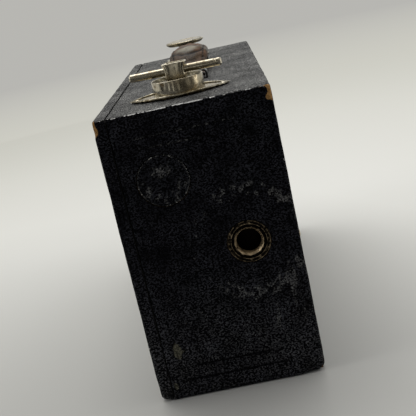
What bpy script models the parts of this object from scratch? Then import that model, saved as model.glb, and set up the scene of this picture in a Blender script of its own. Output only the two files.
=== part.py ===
"""Box camera for roll film: a leather-covered wooden case with its winding, shutter and lens gear.

Frame: metres, +Z up, origin at the middle of the base. X runs along the case, the near end
at -X. The lens looks along -Y and the rear cover closes the case at +Y.
"""

from math import asin, cos, pi, radians, sin, tau

import bmesh
import bpy
from mathutils import Vector

MM = 0.001

# Overall size and walls
LENGTH = 184 * MM
DEPTH = 63.5 * MM
HEIGHT = 110 * MM
BOARD = 6 * MM
LEATHER = 0.7 * MM
COVER_THICK = 4.8 * MM
PARTITION = 4 * MM
EDGE_ROUND = 1.2 * MM

# Clearances
GAP = 0.3 * MM
SWING_GAP = 0.6 * MM
RUN_GAP = 0.5 * MM

# Film and spools
PICTURE = 83 * MM
GATE_THICK = 1.5 * MM
GATE_BORDER = 5 * MM
GATE_BEFORE_FILM = 2.7 * MM
FILM_ROOM = 0.75 * MM
SPOOL_HEADROOM = 2.4 * MM
SPOOL_FLANGE_R = 12.7 * MM
SPOOL_FLANGE_THICK = 0.8 * MM
SPOOL_CORE_R = 6 * MM
SPOOL_BORE_R = 2.4 * MM
SPOOL_BORE_DEPTH = 7 * MM
SPOOL_SLOT_WIDTH = 2.4 * MM
SPOOL_SLOT_LENGTH = 7 * MM
SPOOL_SLOT_DEPTH = 4.5 * MM
SPOOL_FROM_END = 25 * MM
SPOOL_Y = 0.6 * MM
PIVOT_FLANGE_R = 7 * MM
PIVOT_FLANGE_THICK = 1 * MM
PIVOT_STUB_R = 2.5 * MM
PIVOT_STUB_DEPTH = 3 * MM
ROLLER_R = 2.5 * MM
ROLLER_PIN_R = 1.2 * MM
ROLLER_PIN_DEPTH = 3 * MM
ROLLER_OUTSIDE_GATE = 3 * MM

# Winding key
KEY_PLATE_LENGTH = 38.4 * MM
KEY_PLATE_WIDTH = 21.5 * MM
KEY_PLATE_THICK = 1 * MM
KEY_PLATE_ROUND = 0.4 * MM
COLLAR_R = 9.8 * MM
COLLAR_HEIGHT = 4.8 * MM
COLLAR_LIP = 0.8 * MM
SLEEVE_R = 5.5 * MM
STEM = 4.8 * MM
KEY_TURN = radians(-9)
KEY_BLOCK = 7.4 * MM
KEY_BLOCK_DEPTH = 5.2 * MM
KEY_BLOCK_HEIGHT = 5.2 * MM
KEY_BLOCK_FLARE = 0.9 * MM
KEY_BLOCK_LIP = 0.4 * MM
KEY_BAR_LENGTH = 35.6 * MM
KEY_BAR_R = 1.5 * MM
KEY_BAR_ABOVE = 2.15 * MM
KEY_BAR_GROOVE = 0.3 * MM
KEY_BAR_GROOVE_FROM_END = 2.4 * MM
TONGUE_THICK = 1.6 * MM
TONGUE_REACH = 3 * MM
RATCHET_R = 9 * MM
RATCHET_TEETH = 12
RATCHET_TOOTH = 1.3 * MM
RATCHET_THICK = 1.5 * MM
CLICK_THICK = 0.8 * MM
CLICK_FOOT = 5 * MM
CLICK_LENGTH = 12 * MM

# Pull knob of the supply spool
KNOB_HEAD_R = 9.8 * MM
KNOB_HEAD_THICK = 1.5 * MM
KNOB_HEIGHT = 9.1 * MM
KNOB_STEM_R = 3 * MM
KNOB_TIP_R = 2 * MM
KNOB_PLATE_R = 11 * MM
KNOB_BOSS_HEIGHT = 2.5 * MM

# Tripod bushes, for a 3/8 inch screw
BUSH_BORE_R = 4.75 * MM
BUSH_BORE_DEPTH = 6.7 * MM
BUSH_FLOOR = 0.8 * MM
BUSH_BODY_R = 6.1 * MM
BUSH_FLANGE_R = 7.85 * MM
BUSH_FLANGE_THICK = 1.6 * MM
BUSH_GROOVE = 0.4 * MM
END_BUSH_FROM_FRONT = 18.35 * MM
END_BUSH_ABOVE_MIDDLE = 1 * MM
BASE_BUSH_FROM_SEAM = 14.65 * MM

# Release button and latch
BUTTON_R = 9.4 * MM
BUTTON_FROM_SEAM = 14.85 * MM
BUTTON_FROM_TOP = 25.6 * MM
BUTTON_RIM = 0.9 * MM
BUTTON_RIM_THICK = 0.8 * MM
BUTTON_PIP_R = 2.5 * MM
BUTTON_PIP = 1.8 * MM
LATCH_THICK = 0.8 * MM
LATCH_WIDTH = 10 * MM
LATCH_BASE_BELOW = 28 * MM
LATCH_FOOT = 6 * MM
NOSE_ABOVE = 13 * MM
NOSE_HEIGHT = 4 * MM
NOSE_REACH = 6 * MM
KEEPER_THICK = 0.7 * MM
KEEPER_HEIGHT = 7 * MM
KEEPER_BASE = 7 * MM

# Rear cover and its hinge
COVER_STEP = 1.7 * MM
COVER_LIFT = 0.3 * MM
WINDOW_R = 7 * MM
WINDOW_GLASS_THICK = 1.2 * MM
WINDOW_RIM = 1.5 * MM
WINDOW_RING_R = 10 * MM
WINDOW_RING_THICK = 0.9 * MM
KNUCKLE_R = 1.7 * MM
HINGE_PIN_R = 0.8 * MM
HINGE_LEAF = 0.8 * MM
HINGE_LEAF_WIDTH = 12 * MM
HINGE_HEIGHT = 42 * MM

# Carrying strap
STRAP_WIDTH = 17 * MM
STRAP_END_WIDTH = 12 * MM
STRAP_THICK = 5 * MM
STRAP_END_THICK = 2.4 * MM
STRAP_HALF = 38 * MM
STRAP_CREST = 11.8 * MM
STRAP_RISE = 22 * MM
STRAP_FLAT_END = 8 * MM
STRAP_Y = -3 * MM
STRAP_STEPS = 28
STRAP_SQUARENESS = 3
LOOP_THICK = 1 * MM
LOOP_WIDTH = 6 * MM
LOOP_LEG = 4 * MM

# Lens and shutter
FRONT_HOLE_R = 11 * MM
BEZEL_R = 16 * MM
BEZEL_PROUD = 2 * MM
BEZEL_WALL = 1.2 * MM
LENS_BOARD_THICK = 4 * MM
SHUTTER_SPACE = 6.7 * MM
LENS_R = 9 * MM
LENS_EDGE = 1.6 * MM
LENS_CROWN = 1.4 * MM
CELL_R = 13 * MM
CELL_WALL = 1.2 * MM
CELL_FLANGE = 1.2 * MM
STOP_HOLE_R = 3.2 * MM
BLADE_THICK = 0.8 * MM
DISC_R = 19 * MM
DISC_OFFSET = 12 * MM
DISC_HOLE_R = 6 * MM
DISC_HOLE_AT = 70
PIVOT_R = 1.5 * MM
PIVOT_HOLE_R = 1.9 * MM
LEVER_X = 22 * MM
LEVER_BELOW = 15 * MM
LEVER_REACH = 16 * MM
LEVER_WIDTH = 5 * MM
LEVER_SWING = 28
TAB_R = 1.2 * MM
TAB_PROUD = 2.6 * MM
STOP_TRAVEL = 22 * MM
STOP_STEP = 11 * MM
STOP_HEIGHT = 15 * MM
STOP_LENGTH = 44 * MM
STOP_TAB_ABOVE = 20 * MM
TIME_X = -26 * MM
TIME_BELOW = 21 * MM
TIME_TRAVEL = 5 * MM
TIME_PLATE = 8 * MM
SPRING_WIRE_R = 0.3 * MM
SPRING_TURNS = 2
SPRING_POINTS = 10

# Finder in the far end
FINDER_LENS_R = 5 * MM
FINDER_LENS_THICK = 2 * MM
FINDER_FROM_END = 14 * MM
FINDER_FROM_TOP = 18 * MM
FINDER_SCREEN_WIDTH = 11 * MM
FINDER_SCREEN_HEIGHT = 13 * MM
FINDER_GLASS = 1.6 * MM
FINDER_RIM = 2 * MM
FINDER_BEZEL_THICK = 1 * MM
MIRROR_WIDTH = 12 * MM
MIRROR_THICK = 1 * MM

# Facets round a turned piece, by its size
FINE = 32
MEDIUM = 20
COARSE = 12
CURVE_STEPS = 8

# Planes worked out from the sizes above
SKIN = LEATHER + GAP
OUT_X = LENGTH / 2
FRONT_Y = -DEPTH / 2
REAR_Y = DEPTH / 2
SEAM_Y = REAR_Y - COVER_THICK
CASE_REAR_Y = SEAM_Y - GAP
WOOD_X = OUT_X - SKIN
WOOD_FRONT = FRONT_Y + SKIN
WOOD_TOP = HEIGHT - SKIN
WOOD_BASE = SKIN
IN_X = WOOD_X - BOARD
IN_FRONT = WOOD_FRONT + BOARD
IN_TOP = WOOD_TOP - BOARD
IN_BASE = WOOD_BASE + BOARD
TOP_SEAT = HEIGHT + GAP
LOOP_X = STRAP_HALF - STRAP_FLAT_END / 2
CHAMBER_X = PICTURE / 2 + GAP
SPOOL_X = OUT_X - SPOOL_FROM_END
PIVOT_TOP = IN_BASE + GAP + PIVOT_FLANGE_THICK
SPOOL_BASE = PIVOT_TOP + RUN_GAP
COLLAR_BASE = TOP_SEAT + KEY_PLATE_THICK + GAP
COLLAR_TOP = COLLAR_BASE + COLLAR_HEIGHT
KEY_BASE = COLLAR_TOP + GAP
KEY_BAR_Z = KEY_BASE + KEY_BAR_ABOVE
RATCHET_TOP = IN_TOP - GAP
RATCHET_BASE = RATCHET_TOP - RATCHET_THICK
SPOOL_TOP = RATCHET_BASE - SPOOL_HEADROOM
SPOOL_LENGTH = SPOOL_TOP - SPOOL_BASE
ROLLER_Y = SEAM_Y - COVER_STEP - FILM_ROOM - ROLLER_R
GATE_Y = ROLLER_Y + ROLLER_R - GATE_BEFORE_FILM - GATE_THICK - GAP
HINGE_X = OUT_X + GAP + KNUCKLE_R
HINGE_Y = SEAM_Y - GAP / 2
HINGE_Z = HEIGHT / 2
LENS_Z = HEIGHT / 2
LEVER_Z = LENS_Z - LEVER_BELOW
TIME_Z = LENS_Z - TIME_BELOW
END_BUSH_Y = FRONT_Y + END_BUSH_FROM_FRONT
END_BUSH_Z = HEIGHT / 2 + END_BUSH_ABOVE_MIDDLE
BASE_BUSH_Y = CASE_REAR_Y - BASE_BUSH_FROM_SEAM
BUTTON_Y = CASE_REAR_Y - BUTTON_FROM_SEAM
BUTTON_Z = HEIGHT - BUTTON_FROM_TOP
LENS_BOARD_FRONT = IN_FRONT + SHUTTER_SPACE
LENS_BOARD_REAR = LENS_BOARD_FRONT + LENS_BOARD_THICK
STOP_Y = IN_FRONT + GAP + BLADE_THICK / 2
DISC_Y = STOP_Y + BLADE_THICK + 2 * GAP
LEVER_Y = DISC_Y + BLADE_THICK + 2 * GAP
FINDER_X = OUT_X - FINDER_FROM_END
FINDER_Z = HEIGHT - FINDER_FROM_TOP
FINDER_Y = IN_FRONT + GAP + MIRROR_WIDTH / 2
BUTTON_RIM_X = -IN_X + GAP
LATCH_X = BUTTON_RIM_X + BUTTON_RIM_THICK + BUTTON_PIP + GAP
LATCH_BASE_Z = BUTTON_Z - LATCH_BASE_BELOW
NOSE_Z = BUTTON_Z + NOSE_ABOVE
NOSE_Y = BUTTON_Y + LATCH_WIDTH / 2
KEEPER_X = -IN_X + SWING_GAP

# Turns that bring a piece made along +Z to face another way
FACE_NEAR_END = (0, -pi / 2, 0)
FACE_FAR_END = (pi / 2, 0, pi / 2)
FACE_FRONT = (pi / 2, 0, 0)
FACE_KEY_BLOCK = (pi / 2, 0, pi / 2 + KEY_TURN)
FACE_KEY_BAR = (pi / 2, 0, KEY_TURN)
FACE_REAR = (-pi / 2, 0, 0)
FACE_UP = (0, 0, 0)
FACE_DOWN = (pi, 0, 0)

for old in list(bpy.data.objects):
    bpy.data.objects.remove(old, do_unlink=True)


def make_collection(name):
    collection = bpy.data.collections.new(name)
    bpy.context.scene.collection.children.link(collection)
    return collection


PARTS = make_collection("box_camera")
CUTTERS = make_collection("box_camera_cutters")


def make_material(name, colour, roughness, metallic=0.0):
    material = bpy.data.materials.new(name)
    material.use_nodes = True
    shader = material.node_tree.nodes["Principled BSDF"]
    shader.inputs["Base Color"].default_value = (*colour, 1.0)
    shader.inputs["Roughness"].default_value = roughness
    shader.inputs["Metallic"].default_value = metallic
    return material


WOOD = make_material("wood", (0.33, 0.17, 0.08), 0.6)
BLACK_WOOD = make_material("blackened_wood", (0.02, 0.02, 0.02), 0.7)
BLACK_LEATHER = make_material("black_leather", (0.018, 0.018, 0.02), 0.5)
BROWN_LEATHER = make_material("brown_leather", (0.09, 0.035, 0.02), 0.45)
NICKEL = make_material("nickel", (0.72, 0.68, 0.58), 0.22, 1.0)
DARK_BRASS = make_material("dark_brass", (0.28, 0.22, 0.13), 0.4, 1.0)
STEEL = make_material("steel", (0.45, 0.45, 0.45), 0.35, 1.0)
BLACK_METAL = make_material("black_metal", (0.02, 0.02, 0.02), 0.45, 0.5)
GLASS = make_material("glass", (0.8, 0.85, 0.85), 0.05)
MIRROR = make_material("mirror", (0.8, 0.8, 0.8), 0.05, 1.0)
RED_FILM = make_material("red_film", (0.45, 0.02, 0.02), 0.15)


def link_piece(name, mesh, material, place=(0, 0, 0), turn=FACE_UP):
    """Put a mesh into the part as a named piece."""
    piece = bpy.data.objects.new(name, mesh)
    piece.location = place
    piece.rotation_euler = turn
    mesh.materials.append(material)
    PARTS.objects.link(piece)
    return piece


def box_mesh(name, low, high, origin=(0, 0, 0)):
    """A box between two corners, with its mesh measured from origin."""
    low, high, origin = Vector(low), Vector(high), Vector(origin)
    size = high - low
    shape = bmesh.new()
    bmesh.ops.create_cube(shape, size=1)
    bmesh.ops.scale(shape, vec=size, verts=shape.verts)
    bmesh.ops.translate(shape, vec=(low + high) / 2 - origin, verts=shape.verts)
    mesh = bpy.data.meshes.new(name)
    shape.to_mesh(mesh)
    shape.free()
    return mesh


def box(name, low, high, material, origin=(0, 0, 0)):
    return link_piece(name, box_mesh(name, low, high, origin), material, origin)


def profile_mesh(name, profile, closed):
    """Edges through the (radius, height) points of a turned piece's outline."""
    points = [(radius, 0, height) for radius, height in profile]
    edges = [(i, i + 1) for i in range(len(points) - 1)]
    if closed:
        edges.append((len(points) - 1, 0))
    mesh = bpy.data.meshes.new(name)
    mesh.from_pydata(points, edges, [])
    return mesh


def spin(piece, steps):
    """Turn the outline of a piece round its own Z axis."""
    screw = piece.modifiers.new("turn", 'SCREW')
    screw.axis = 'Z'
    screw.angle = tau
    screw.steps = steps
    screw.render_steps = steps
    screw.use_merge_vertices = True
    screw.merge_threshold = 0.00001
    screw.use_smooth_shade = False


def turned(name, profile, material, place, turn=FACE_UP, steps=MEDIUM):
    """A turned piece; the profile runs down its outer side, and closes on itself round a bore."""
    closed = profile[0][0] > 0
    piece = link_piece(name, profile_mesh(name, profile, closed), material, place, turn)
    spin(piece, steps)
    return piece


def as_cutter(piece):
    """Keep a shape as a tool that only cuts."""
    for collection in list(piece.users_collection):
        collection.objects.unlink(piece)
    CUTTERS.objects.link(piece)
    piece.hide_render = True
    piece.display_type = 'WIRE'
    return piece


def cut(piece, *tools):
    for tool in tools:
        boolean = piece.modifiers.new(tool.name, 'BOOLEAN')
        boolean.operation = 'DIFFERENCE'
        boolean.object = tool


def unite(piece, *tools):
    for tool in tools:
        boolean = piece.modifiers.new(tool.name, 'BOOLEAN')
        boolean.operation = 'UNION'
        boolean.object = tool


def box_tool(name, low, high):
    return as_cutter(box(name, low, high, BLACK_METAL))


def turned_tool(name, profile, place, turn=FACE_UP, steps=MEDIUM):
    return as_cutter(turned(name, profile, BLACK_METAL, place, turn, steps))


def drill(name, radius, depth, place, turn=FACE_UP, steps=MEDIUM):
    """A round cutter that reaches depth to both sides of its place."""
    profile = [(0, depth), (radius, depth), (radius, -depth), (0, -depth)]
    return turned_tool(name, profile, place, turn, steps)


def flat_outline(name, outlines, thickness, material, place, turn=FACE_UP):
    """A plate cut to one or more closed outlines; an inner outline is a hole."""
    curve = bpy.data.curves.new(name + "_outline", 'CURVE')
    curve.dimensions = '2D'
    curve.fill_mode = 'BOTH'
    curve.extrude = thickness / 2
    for outline in outlines:
        spline = curve.splines.new('POLY')
        spline.points.add(len(outline) - 1)
        for point, (x, y) in zip(spline.points, outline):
            point.co = (x, y, 0, 1)
        spline.use_cyclic_u = True
    holder = bpy.data.objects.new(name + "_outline", curve)
    PARTS.objects.link(holder)
    return mesh_from_curve(name, holder, material, place, turn)


def mesh_from_curve(name, holder, material, place=(0, 0, 0), turn=FACE_UP):
    """Make a curve's evaluated shape a closed mesh piece and remove the curve."""
    graph = bpy.context.evaluated_depsgraph_get()
    mesh = bpy.data.meshes.new_from_object(holder.evaluated_get(graph))
    mesh.name = name
    shape = bmesh.new()
    shape.from_mesh(mesh)
    bmesh.ops.remove_doubles(shape, verts=shape.verts, dist=0.000001)
    bmesh.ops.recalc_face_normals(shape, faces=shape.faces)
    shape.to_mesh(mesh)
    shape.free()
    bpy.data.objects.remove(holder, do_unlink=True)
    mesh.materials.clear()
    return link_piece(name, mesh, material, place, turn)


def circle(radius, steps, centre=(0, 0)):
    return [(centre[0] + radius * cos(tau * i / steps), centre[1] + radius * sin(tau * i / steps))
            for i in range(steps)]


def arc(centre, radius, start, end, steps):
    """Points of an arc between two angles in radians."""
    angles = [start + (end - start) * i / steps for i in range(steps + 1)]
    return [(centre[0] + radius * cos(a), centre[1] + radius * sin(a)) for a in angles]


def slot_outline(length, width):
    """A straight slot with round ends, along X."""
    half = (length - width) / 2
    right = arc((half, 0), width / 2, -pi / 2, pi / 2, CURVE_STEPS)
    left = arc((-half, 0), width / 2, pi / 2, 3 * pi / 2, CURVE_STEPS)
    return right + left


def open_shell(name, low, high, kept, material):
    """Leather folded round a box: the kept sides of the box, given a thickness inwards."""
    mesh = box_mesh(name, low, high)
    shape = bmesh.new()
    shape.from_mesh(mesh)
    shape.normal_update()
    dropped = [f for f in shape.faces if not any(f.normal.dot(Vector(side)) > 0.9 for side in kept)]
    bmesh.ops.delete(shape, geom=dropped, context='FACES')
    shape.to_mesh(mesh)
    shape.free()
    piece = link_piece(name, mesh, material)
    bevel = piece.modifiers.new("soft_edges", 'BEVEL')
    bevel.width = EDGE_ROUND
    bevel.segments = 2
    solid = piece.modifiers.new("leather", 'SOLIDIFY')
    solid.thickness = LEATHER
    solid.offset = -1
    solid.use_even_offset = True
    return piece


def make_case():
    """The glued wooden boards, with every hole bored for the fittings that they carry."""
    through = 2 * BOARD
    boards = {}
    boards["top"] = box("top_board", (-WOOD_X, WOOD_FRONT, IN_TOP), (WOOD_X, CASE_REAR_Y, WOOD_TOP), WOOD)
    boards["base"] = box("base_board", (-WOOD_X, WOOD_FRONT, WOOD_BASE), (WOOD_X, CASE_REAR_Y, IN_BASE), WOOD)
    low_z, high_z = IN_BASE + GAP, IN_TOP - GAP
    boards["near"] = box("near_end_board", (-WOOD_X, WOOD_FRONT, low_z), (-IN_X, CASE_REAR_Y, high_z), WOOD)
    boards["far"] = box("far_end_board", (IN_X, WOOD_FRONT, low_z), (WOOD_X, CASE_REAR_Y, high_z), WOOD)
    inner_x = IN_X - GAP
    boards["front"] = box("front_board", (-inner_x, WOOD_FRONT, low_z), (inner_x, IN_FRONT, high_z), WOOD)
    for name, side in (("near_partition", -1), ("far_partition", 1)):
        edges = sorted((side * CHAMBER_X, side * (CHAMBER_X + PARTITION)))
        low = (edges[0], IN_FRONT + GAP, low_z)
        high = (edges[1], GATE_Y, high_z)
        box(name, low, high, BLACK_WOOD)
    panel_x = CHAMBER_X - GAP
    boards["lens"] = box(
        "lens_board", (-panel_x, LENS_BOARD_FRONT, low_z), (panel_x, LENS_BOARD_REAR, high_z), BLACK_WOOD)
    lens_hole = drill("lens_seat", LENS_R + CELL_WALL + GAP, LENS_BOARD_THICK,
                      (0, LENS_BOARD_FRONT, LENS_Z), FACE_FRONT)
    cut(boards["lens"], lens_hole)
    for x in (-SPOOL_X, SPOOL_X):
        stub = drill("pivot_seat", PIVOT_STUB_R + GAP, PIVOT_STUB_DEPTH + GAP, (x, SPOOL_Y, IN_BASE),
                     steps=COARSE)
        cut(boards["base"], stub)
        roller_x = (CHAMBER_X + PARTITION + ROLLER_OUTSIDE_GATE) * (1 if x > 0 else -1)
        pin_depth = ROLLER_PIN_DEPTH + GAP
        cut(boards["base"], drill("pin_seat", ROLLER_PIN_R + GAP, pin_depth, (roller_x, ROLLER_Y, IN_BASE),
                                  steps=COARSE))
        cut(boards["top"], drill("pin_seat", ROLLER_PIN_R + GAP, pin_depth, (roller_x, ROLLER_Y, IN_TOP),
                                 steps=COARSE))
    return boards, through


def make_coverings(boards, through):
    """The leather round the case, cut away with the boards where fittings pass through."""
    low = (-OUT_X, FRONT_Y, SKIN)
    high = (OUT_X, CASE_REAR_Y, HEIGHT)
    wrap = open_shell("case_covering", low, high, ((-1, 0, 0), (1, 0, 0), (0, 0, 1)), BLACK_LEATHER)
    front = box("front_covering", (-WOOD_X, FRONT_Y, SKIN), (WOOD_X, FRONT_Y + LEATHER, WOOD_TOP),
                BLACK_LEATHER)
    base = box("base_covering", (-OUT_X, FRONT_Y, 0), (OUT_X, CASE_REAR_Y, LEATHER), BLACK_LEATHER)

    sleeve_hole_near = drill("key_hole", SLEEVE_R + GAP, through, (-SPOOL_X, SPOOL_Y, WOOD_TOP))
    sleeve_hole_far = drill("knob_hole", SLEEVE_R + GAP, through, (SPOOL_X, SPOOL_Y, WOOD_TOP))
    for hole in (sleeve_hole_near, sleeve_hole_far, *loop_leg_holes()):
        cut(wrap, hole)
        cut(boards["top"], hole)

    button_hole = drill("button_hole", BUTTON_R + GAP, through, (-WOOD_X, BUTTON_Y, BUTTON_Z), FACE_NEAR_END,
                        FINE)
    end_seat = turned_tool("end_bush_seat", bush_profile(GAP), (-OUT_X, END_BUSH_Y, END_BUSH_Z),
                           FACE_NEAR_END)
    base_seat = turned_tool("base_bush_seat", bush_profile(GAP), (0, BASE_BUSH_Y, 0), FACE_DOWN)
    cut(wrap, button_hole, end_seat)
    cut(boards["near"], button_hole, end_seat)
    cut(base, base_seat)
    cut(boards["base"], base_seat)

    lens_hole = drill("front_hole", FRONT_HOLE_R, through, (0, WOOD_FRONT, LENS_Z), FACE_FRONT, FINE)
    finder_hole = drill("finder_hole", FINDER_LENS_R + GAP, through, (FINDER_X, WOOD_FRONT, FINDER_Z),
                        FACE_FRONT)
    slots = [lens_hole, finder_hole, lever_slot(through), stop_slot(through), time_slot(through)]
    cut(front, *slots)
    cut(boards["front"], *slots)

    half_y = FINDER_SCREEN_WIDTH / 2 + GAP
    half_z = FINDER_SCREEN_HEIGHT / 2 + GAP
    screen_hole = box_tool("screen_hole", (IN_X - through, FINDER_Y - half_y, FINDER_Z - half_z),
                           (OUT_X + through, FINDER_Y + half_y, FINDER_Z + half_z))
    cut(wrap, screen_hole)
    cut(boards["far"], screen_hole)


def bush_profile(clearance=0.0):
    """Outline of a bush whose mouth is at height 0; a clearance gives the hole that it sits in."""
    length = BUSH_BORE_DEPTH + BUSH_FLOOR
    flange, body = BUSH_FLANGE_R + clearance, BUSH_BODY_R + clearance
    shoulder = -BUSH_FLANGE_THICK - clearance
    if clearance > 0:
        mouth = BUSH_FLANGE_THICK
        end = -length - BOARD
        return [(0, mouth), (flange, mouth), (flange, shoulder), (body, shoulder), (body, end), (0, end)]
    groove_in, groove_out = BUSH_BODY_R, BUSH_BODY_R + BUSH_GROOVE
    return [(0, -BUSH_BORE_DEPTH), (BUSH_BORE_R, -BUSH_BORE_DEPTH), (BUSH_BORE_R, -BUSH_GROOVE),
            (BUSH_BORE_R + BUSH_GROOVE, 0), (groove_in, 0), (groove_in, -BUSH_GROOVE),
            (groove_out, -BUSH_GROOVE), (groove_out, 0), (flange, 0), (flange, shoulder),
            (body, shoulder), (body, -length), (0, -length)]


def make_bushes():
    """Threaded tripod bushes, flush in the near end and the base."""
    turned("end_bush", bush_profile(), DARK_BRASS, (-OUT_X, END_BUSH_Y, END_BUSH_Z), FACE_NEAR_END, FINE)
    turned("base_bush", bush_profile(), DARK_BRASS, (0, BASE_BUSH_Y, 0), FACE_DOWN, FINE)


def lens_outline(length, width):
    """The pointed oval of two equal arcs, with its points on Y."""
    half_l, half_w = length / 2, width / 2
    radius = (half_l ** 2 + half_w ** 2) / (2 * half_w)
    centre = radius - half_w
    spread = asin(half_l / radius)
    right = arc((-centre, 0), radius, -spread, spread, CURVE_STEPS)
    left = arc((centre, 0), radius, pi - spread, pi + spread, CURVE_STEPS)
    return right[:-1] + left[:-1]


def key_block_outline():
    """Side view of the key's block: upright to the bar's middle, then flaring to its top."""
    half = KEY_BLOCK / 2
    rise = KEY_BLOCK_HEIGHT - KEY_BLOCK_LIP - KEY_BAR_ABOVE
    shares = [i / CURVE_STEPS for i in range(CURVE_STEPS + 1)]
    flare = [(half + KEY_BLOCK_FLARE * t * t, KEY_BAR_ABOVE + rise * t) for t in shares]
    side = [(half, 0)] + flare + [(half, KEY_BLOCK_HEIGHT)]
    return side + [(-y, z) for y, z in reversed(side)]


def make_winding_key():
    """Plate, turning collar with its ratchet, and the lifting key with its cross-bar."""
    axis = (-SPOOL_X, SPOOL_Y)
    plate_z = TOP_SEAT + KEY_PLATE_THICK / 2
    outline = lens_outline(KEY_PLATE_LENGTH, KEY_PLATE_WIDTH)
    hole = circle(SLEEVE_R + GAP, MEDIUM)
    plate = flat_outline("key_plate", [outline, hole], KEY_PLATE_THICK, NICKEL, (*axis, plate_z))
    bead = plate.modifiers.new("rounded_edge", 'BEVEL')
    bead.width = KEY_PLATE_ROUND
    bead.segments = 2

    stem_hole_r = STEM / 2 + GAP
    sleeve_end = RATCHET_BASE - COLLAR_BASE
    top = COLLAR_HEIGHT
    collar = turned("key_collar", [(0, top), (COLLAR_R - COLLAR_LIP, top), (COLLAR_R, top - COLLAR_LIP),
                                   (COLLAR_R, 0), (SLEEVE_R, 0), (SLEEVE_R, sleeve_end), (0, sleeve_end)],
                    NICKEL, (*axis, COLLAR_BASE), steps=FINE)
    stem_hole = box_tool("stem_hole", (axis[0] - stem_hole_r, axis[1] - stem_hole_r, SPOOL_TOP),
                         (axis[0] + stem_hole_r, axis[1] + stem_hole_r, KEY_BASE + KEY_BLOCK_HEIGHT))
    cut(collar, stem_hole)

    teeth = []
    for i in range(RATCHET_TEETH):
        angle = tau * i / RATCHET_TEETH
        for radius in (RATCHET_R, RATCHET_R - RATCHET_TOOTH):
            teeth.append((radius * cos(angle), radius * sin(angle)))
    wheel_z = (RATCHET_TOP + RATCHET_BASE) / 2
    flat_outline("ratchet_wheel", [teeth, circle(SLEEVE_R + GAP, MEDIUM)], RATCHET_THICK, STEEL,
                 (*axis, wheel_z))

    foot_x = -RATCHET_R - GAP - CLICK_THICK
    click = [(-CLICK_FOOT, -CLICK_LENGTH), (0, -CLICK_LENGTH), (0, -CLICK_FOOT), (CLICK_THICK, 0),
             (0, 0), (-CLICK_THICK, -CLICK_FOOT), (-CLICK_FOOT, -CLICK_FOOT)]
    flat_outline("click_spring", [click], RATCHET_THICK, STEEL, (axis[0] + foot_x, axis[1], wheel_z))

    key = flat_outline("winding_key", [key_block_outline()], KEY_BLOCK_DEPTH, NICKEL,
                       (*axis, KEY_BASE), FACE_KEY_BLOCK)
    half = STEM / 2
    stem = box_tool("key_stem", (axis[0] - half, axis[1] - half, SPOOL_TOP + RUN_GAP),
                    (axis[0] + half, axis[1] + half, KEY_BASE + KEY_BLOCK_HEIGHT / 4))
    edge = half - GAP
    tongue = box_tool("key_tongue", (axis[0] - TONGUE_THICK / 2, axis[1] - edge, SPOOL_TOP - TONGUE_REACH),
                      (axis[0] + TONGUE_THICK / 2, axis[1] + edge, SPOOL_TOP + 2 * RUN_GAP))
    bar_hole = drill("bar_hole", KEY_BAR_R + GAP, KEY_BLOCK, (*axis, KEY_BAR_Z), FACE_KEY_BAR, COARSE)
    unite(key, stem, tongue)
    cut(key, bar_hole)

    end = KEY_BAR_LENGTH / 2
    groove = end - KEY_BAR_GROOVE_FROM_END
    neck = KEY_BAR_R - KEY_BAR_GROOVE
    turned("key_bar", [(0, end), (neck, end), (KEY_BAR_R, end - KEY_BAR_GROOVE),
                       (KEY_BAR_R, groove + KEY_BAR_GROOVE), (neck, groove + KEY_BAR_GROOVE), (neck, groove),
                       (KEY_BAR_R, groove), (KEY_BAR_R, KEY_BAR_GROOVE - end), (neck, -end), (0, -end)],
           NICKEL, (*axis, KEY_BAR_Z), FACE_KEY_BAR, COARSE)


def make_pull_knob():
    """Plate and flat-headed knob whose tip holds the supply spool."""
    place = (SPOOL_X, SPOOL_Y, TOP_SEAT)
    bore = KNOB_STEM_R + GAP
    sleeve_end = IN_TOP - TOP_SEAT
    boss = KEY_PLATE_THICK + KNOB_BOSS_HEIGHT
    turned("knob_plate", [(bore, boss), (SLEEVE_R, boss), (SLEEVE_R, KEY_PLATE_THICK),
                          (KNOB_PLATE_R, KEY_PLATE_THICK), (KNOB_PLATE_R, 0), (SLEEVE_R, 0),
                          (SLEEVE_R, sleeve_end), (bore, sleeve_end)], NICKEL, place, steps=FINE)
    head = KNOB_HEIGHT - KNOB_HEAD_THICK
    shoulder = SPOOL_TOP + RUN_GAP - TOP_SEAT
    tip = SPOOL_TOP - TONGUE_REACH - TOP_SEAT
    turned("spool_knob", [(0, KNOB_HEIGHT), (KNOB_HEAD_R - KNOB_HEAD_THICK / 2, KNOB_HEIGHT),
                          (KNOB_HEAD_R, head + KNOB_HEAD_THICK / 2),
                          (KNOB_HEAD_R - KNOB_HEAD_THICK / 2, head),
                          (KNOB_STEM_R, head), (KNOB_STEM_R, shoulder), (KNOB_TIP_R, shoulder),
                          (KNOB_TIP_R, tip), (0, tip)], NICKEL, place, steps=FINE)


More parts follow.
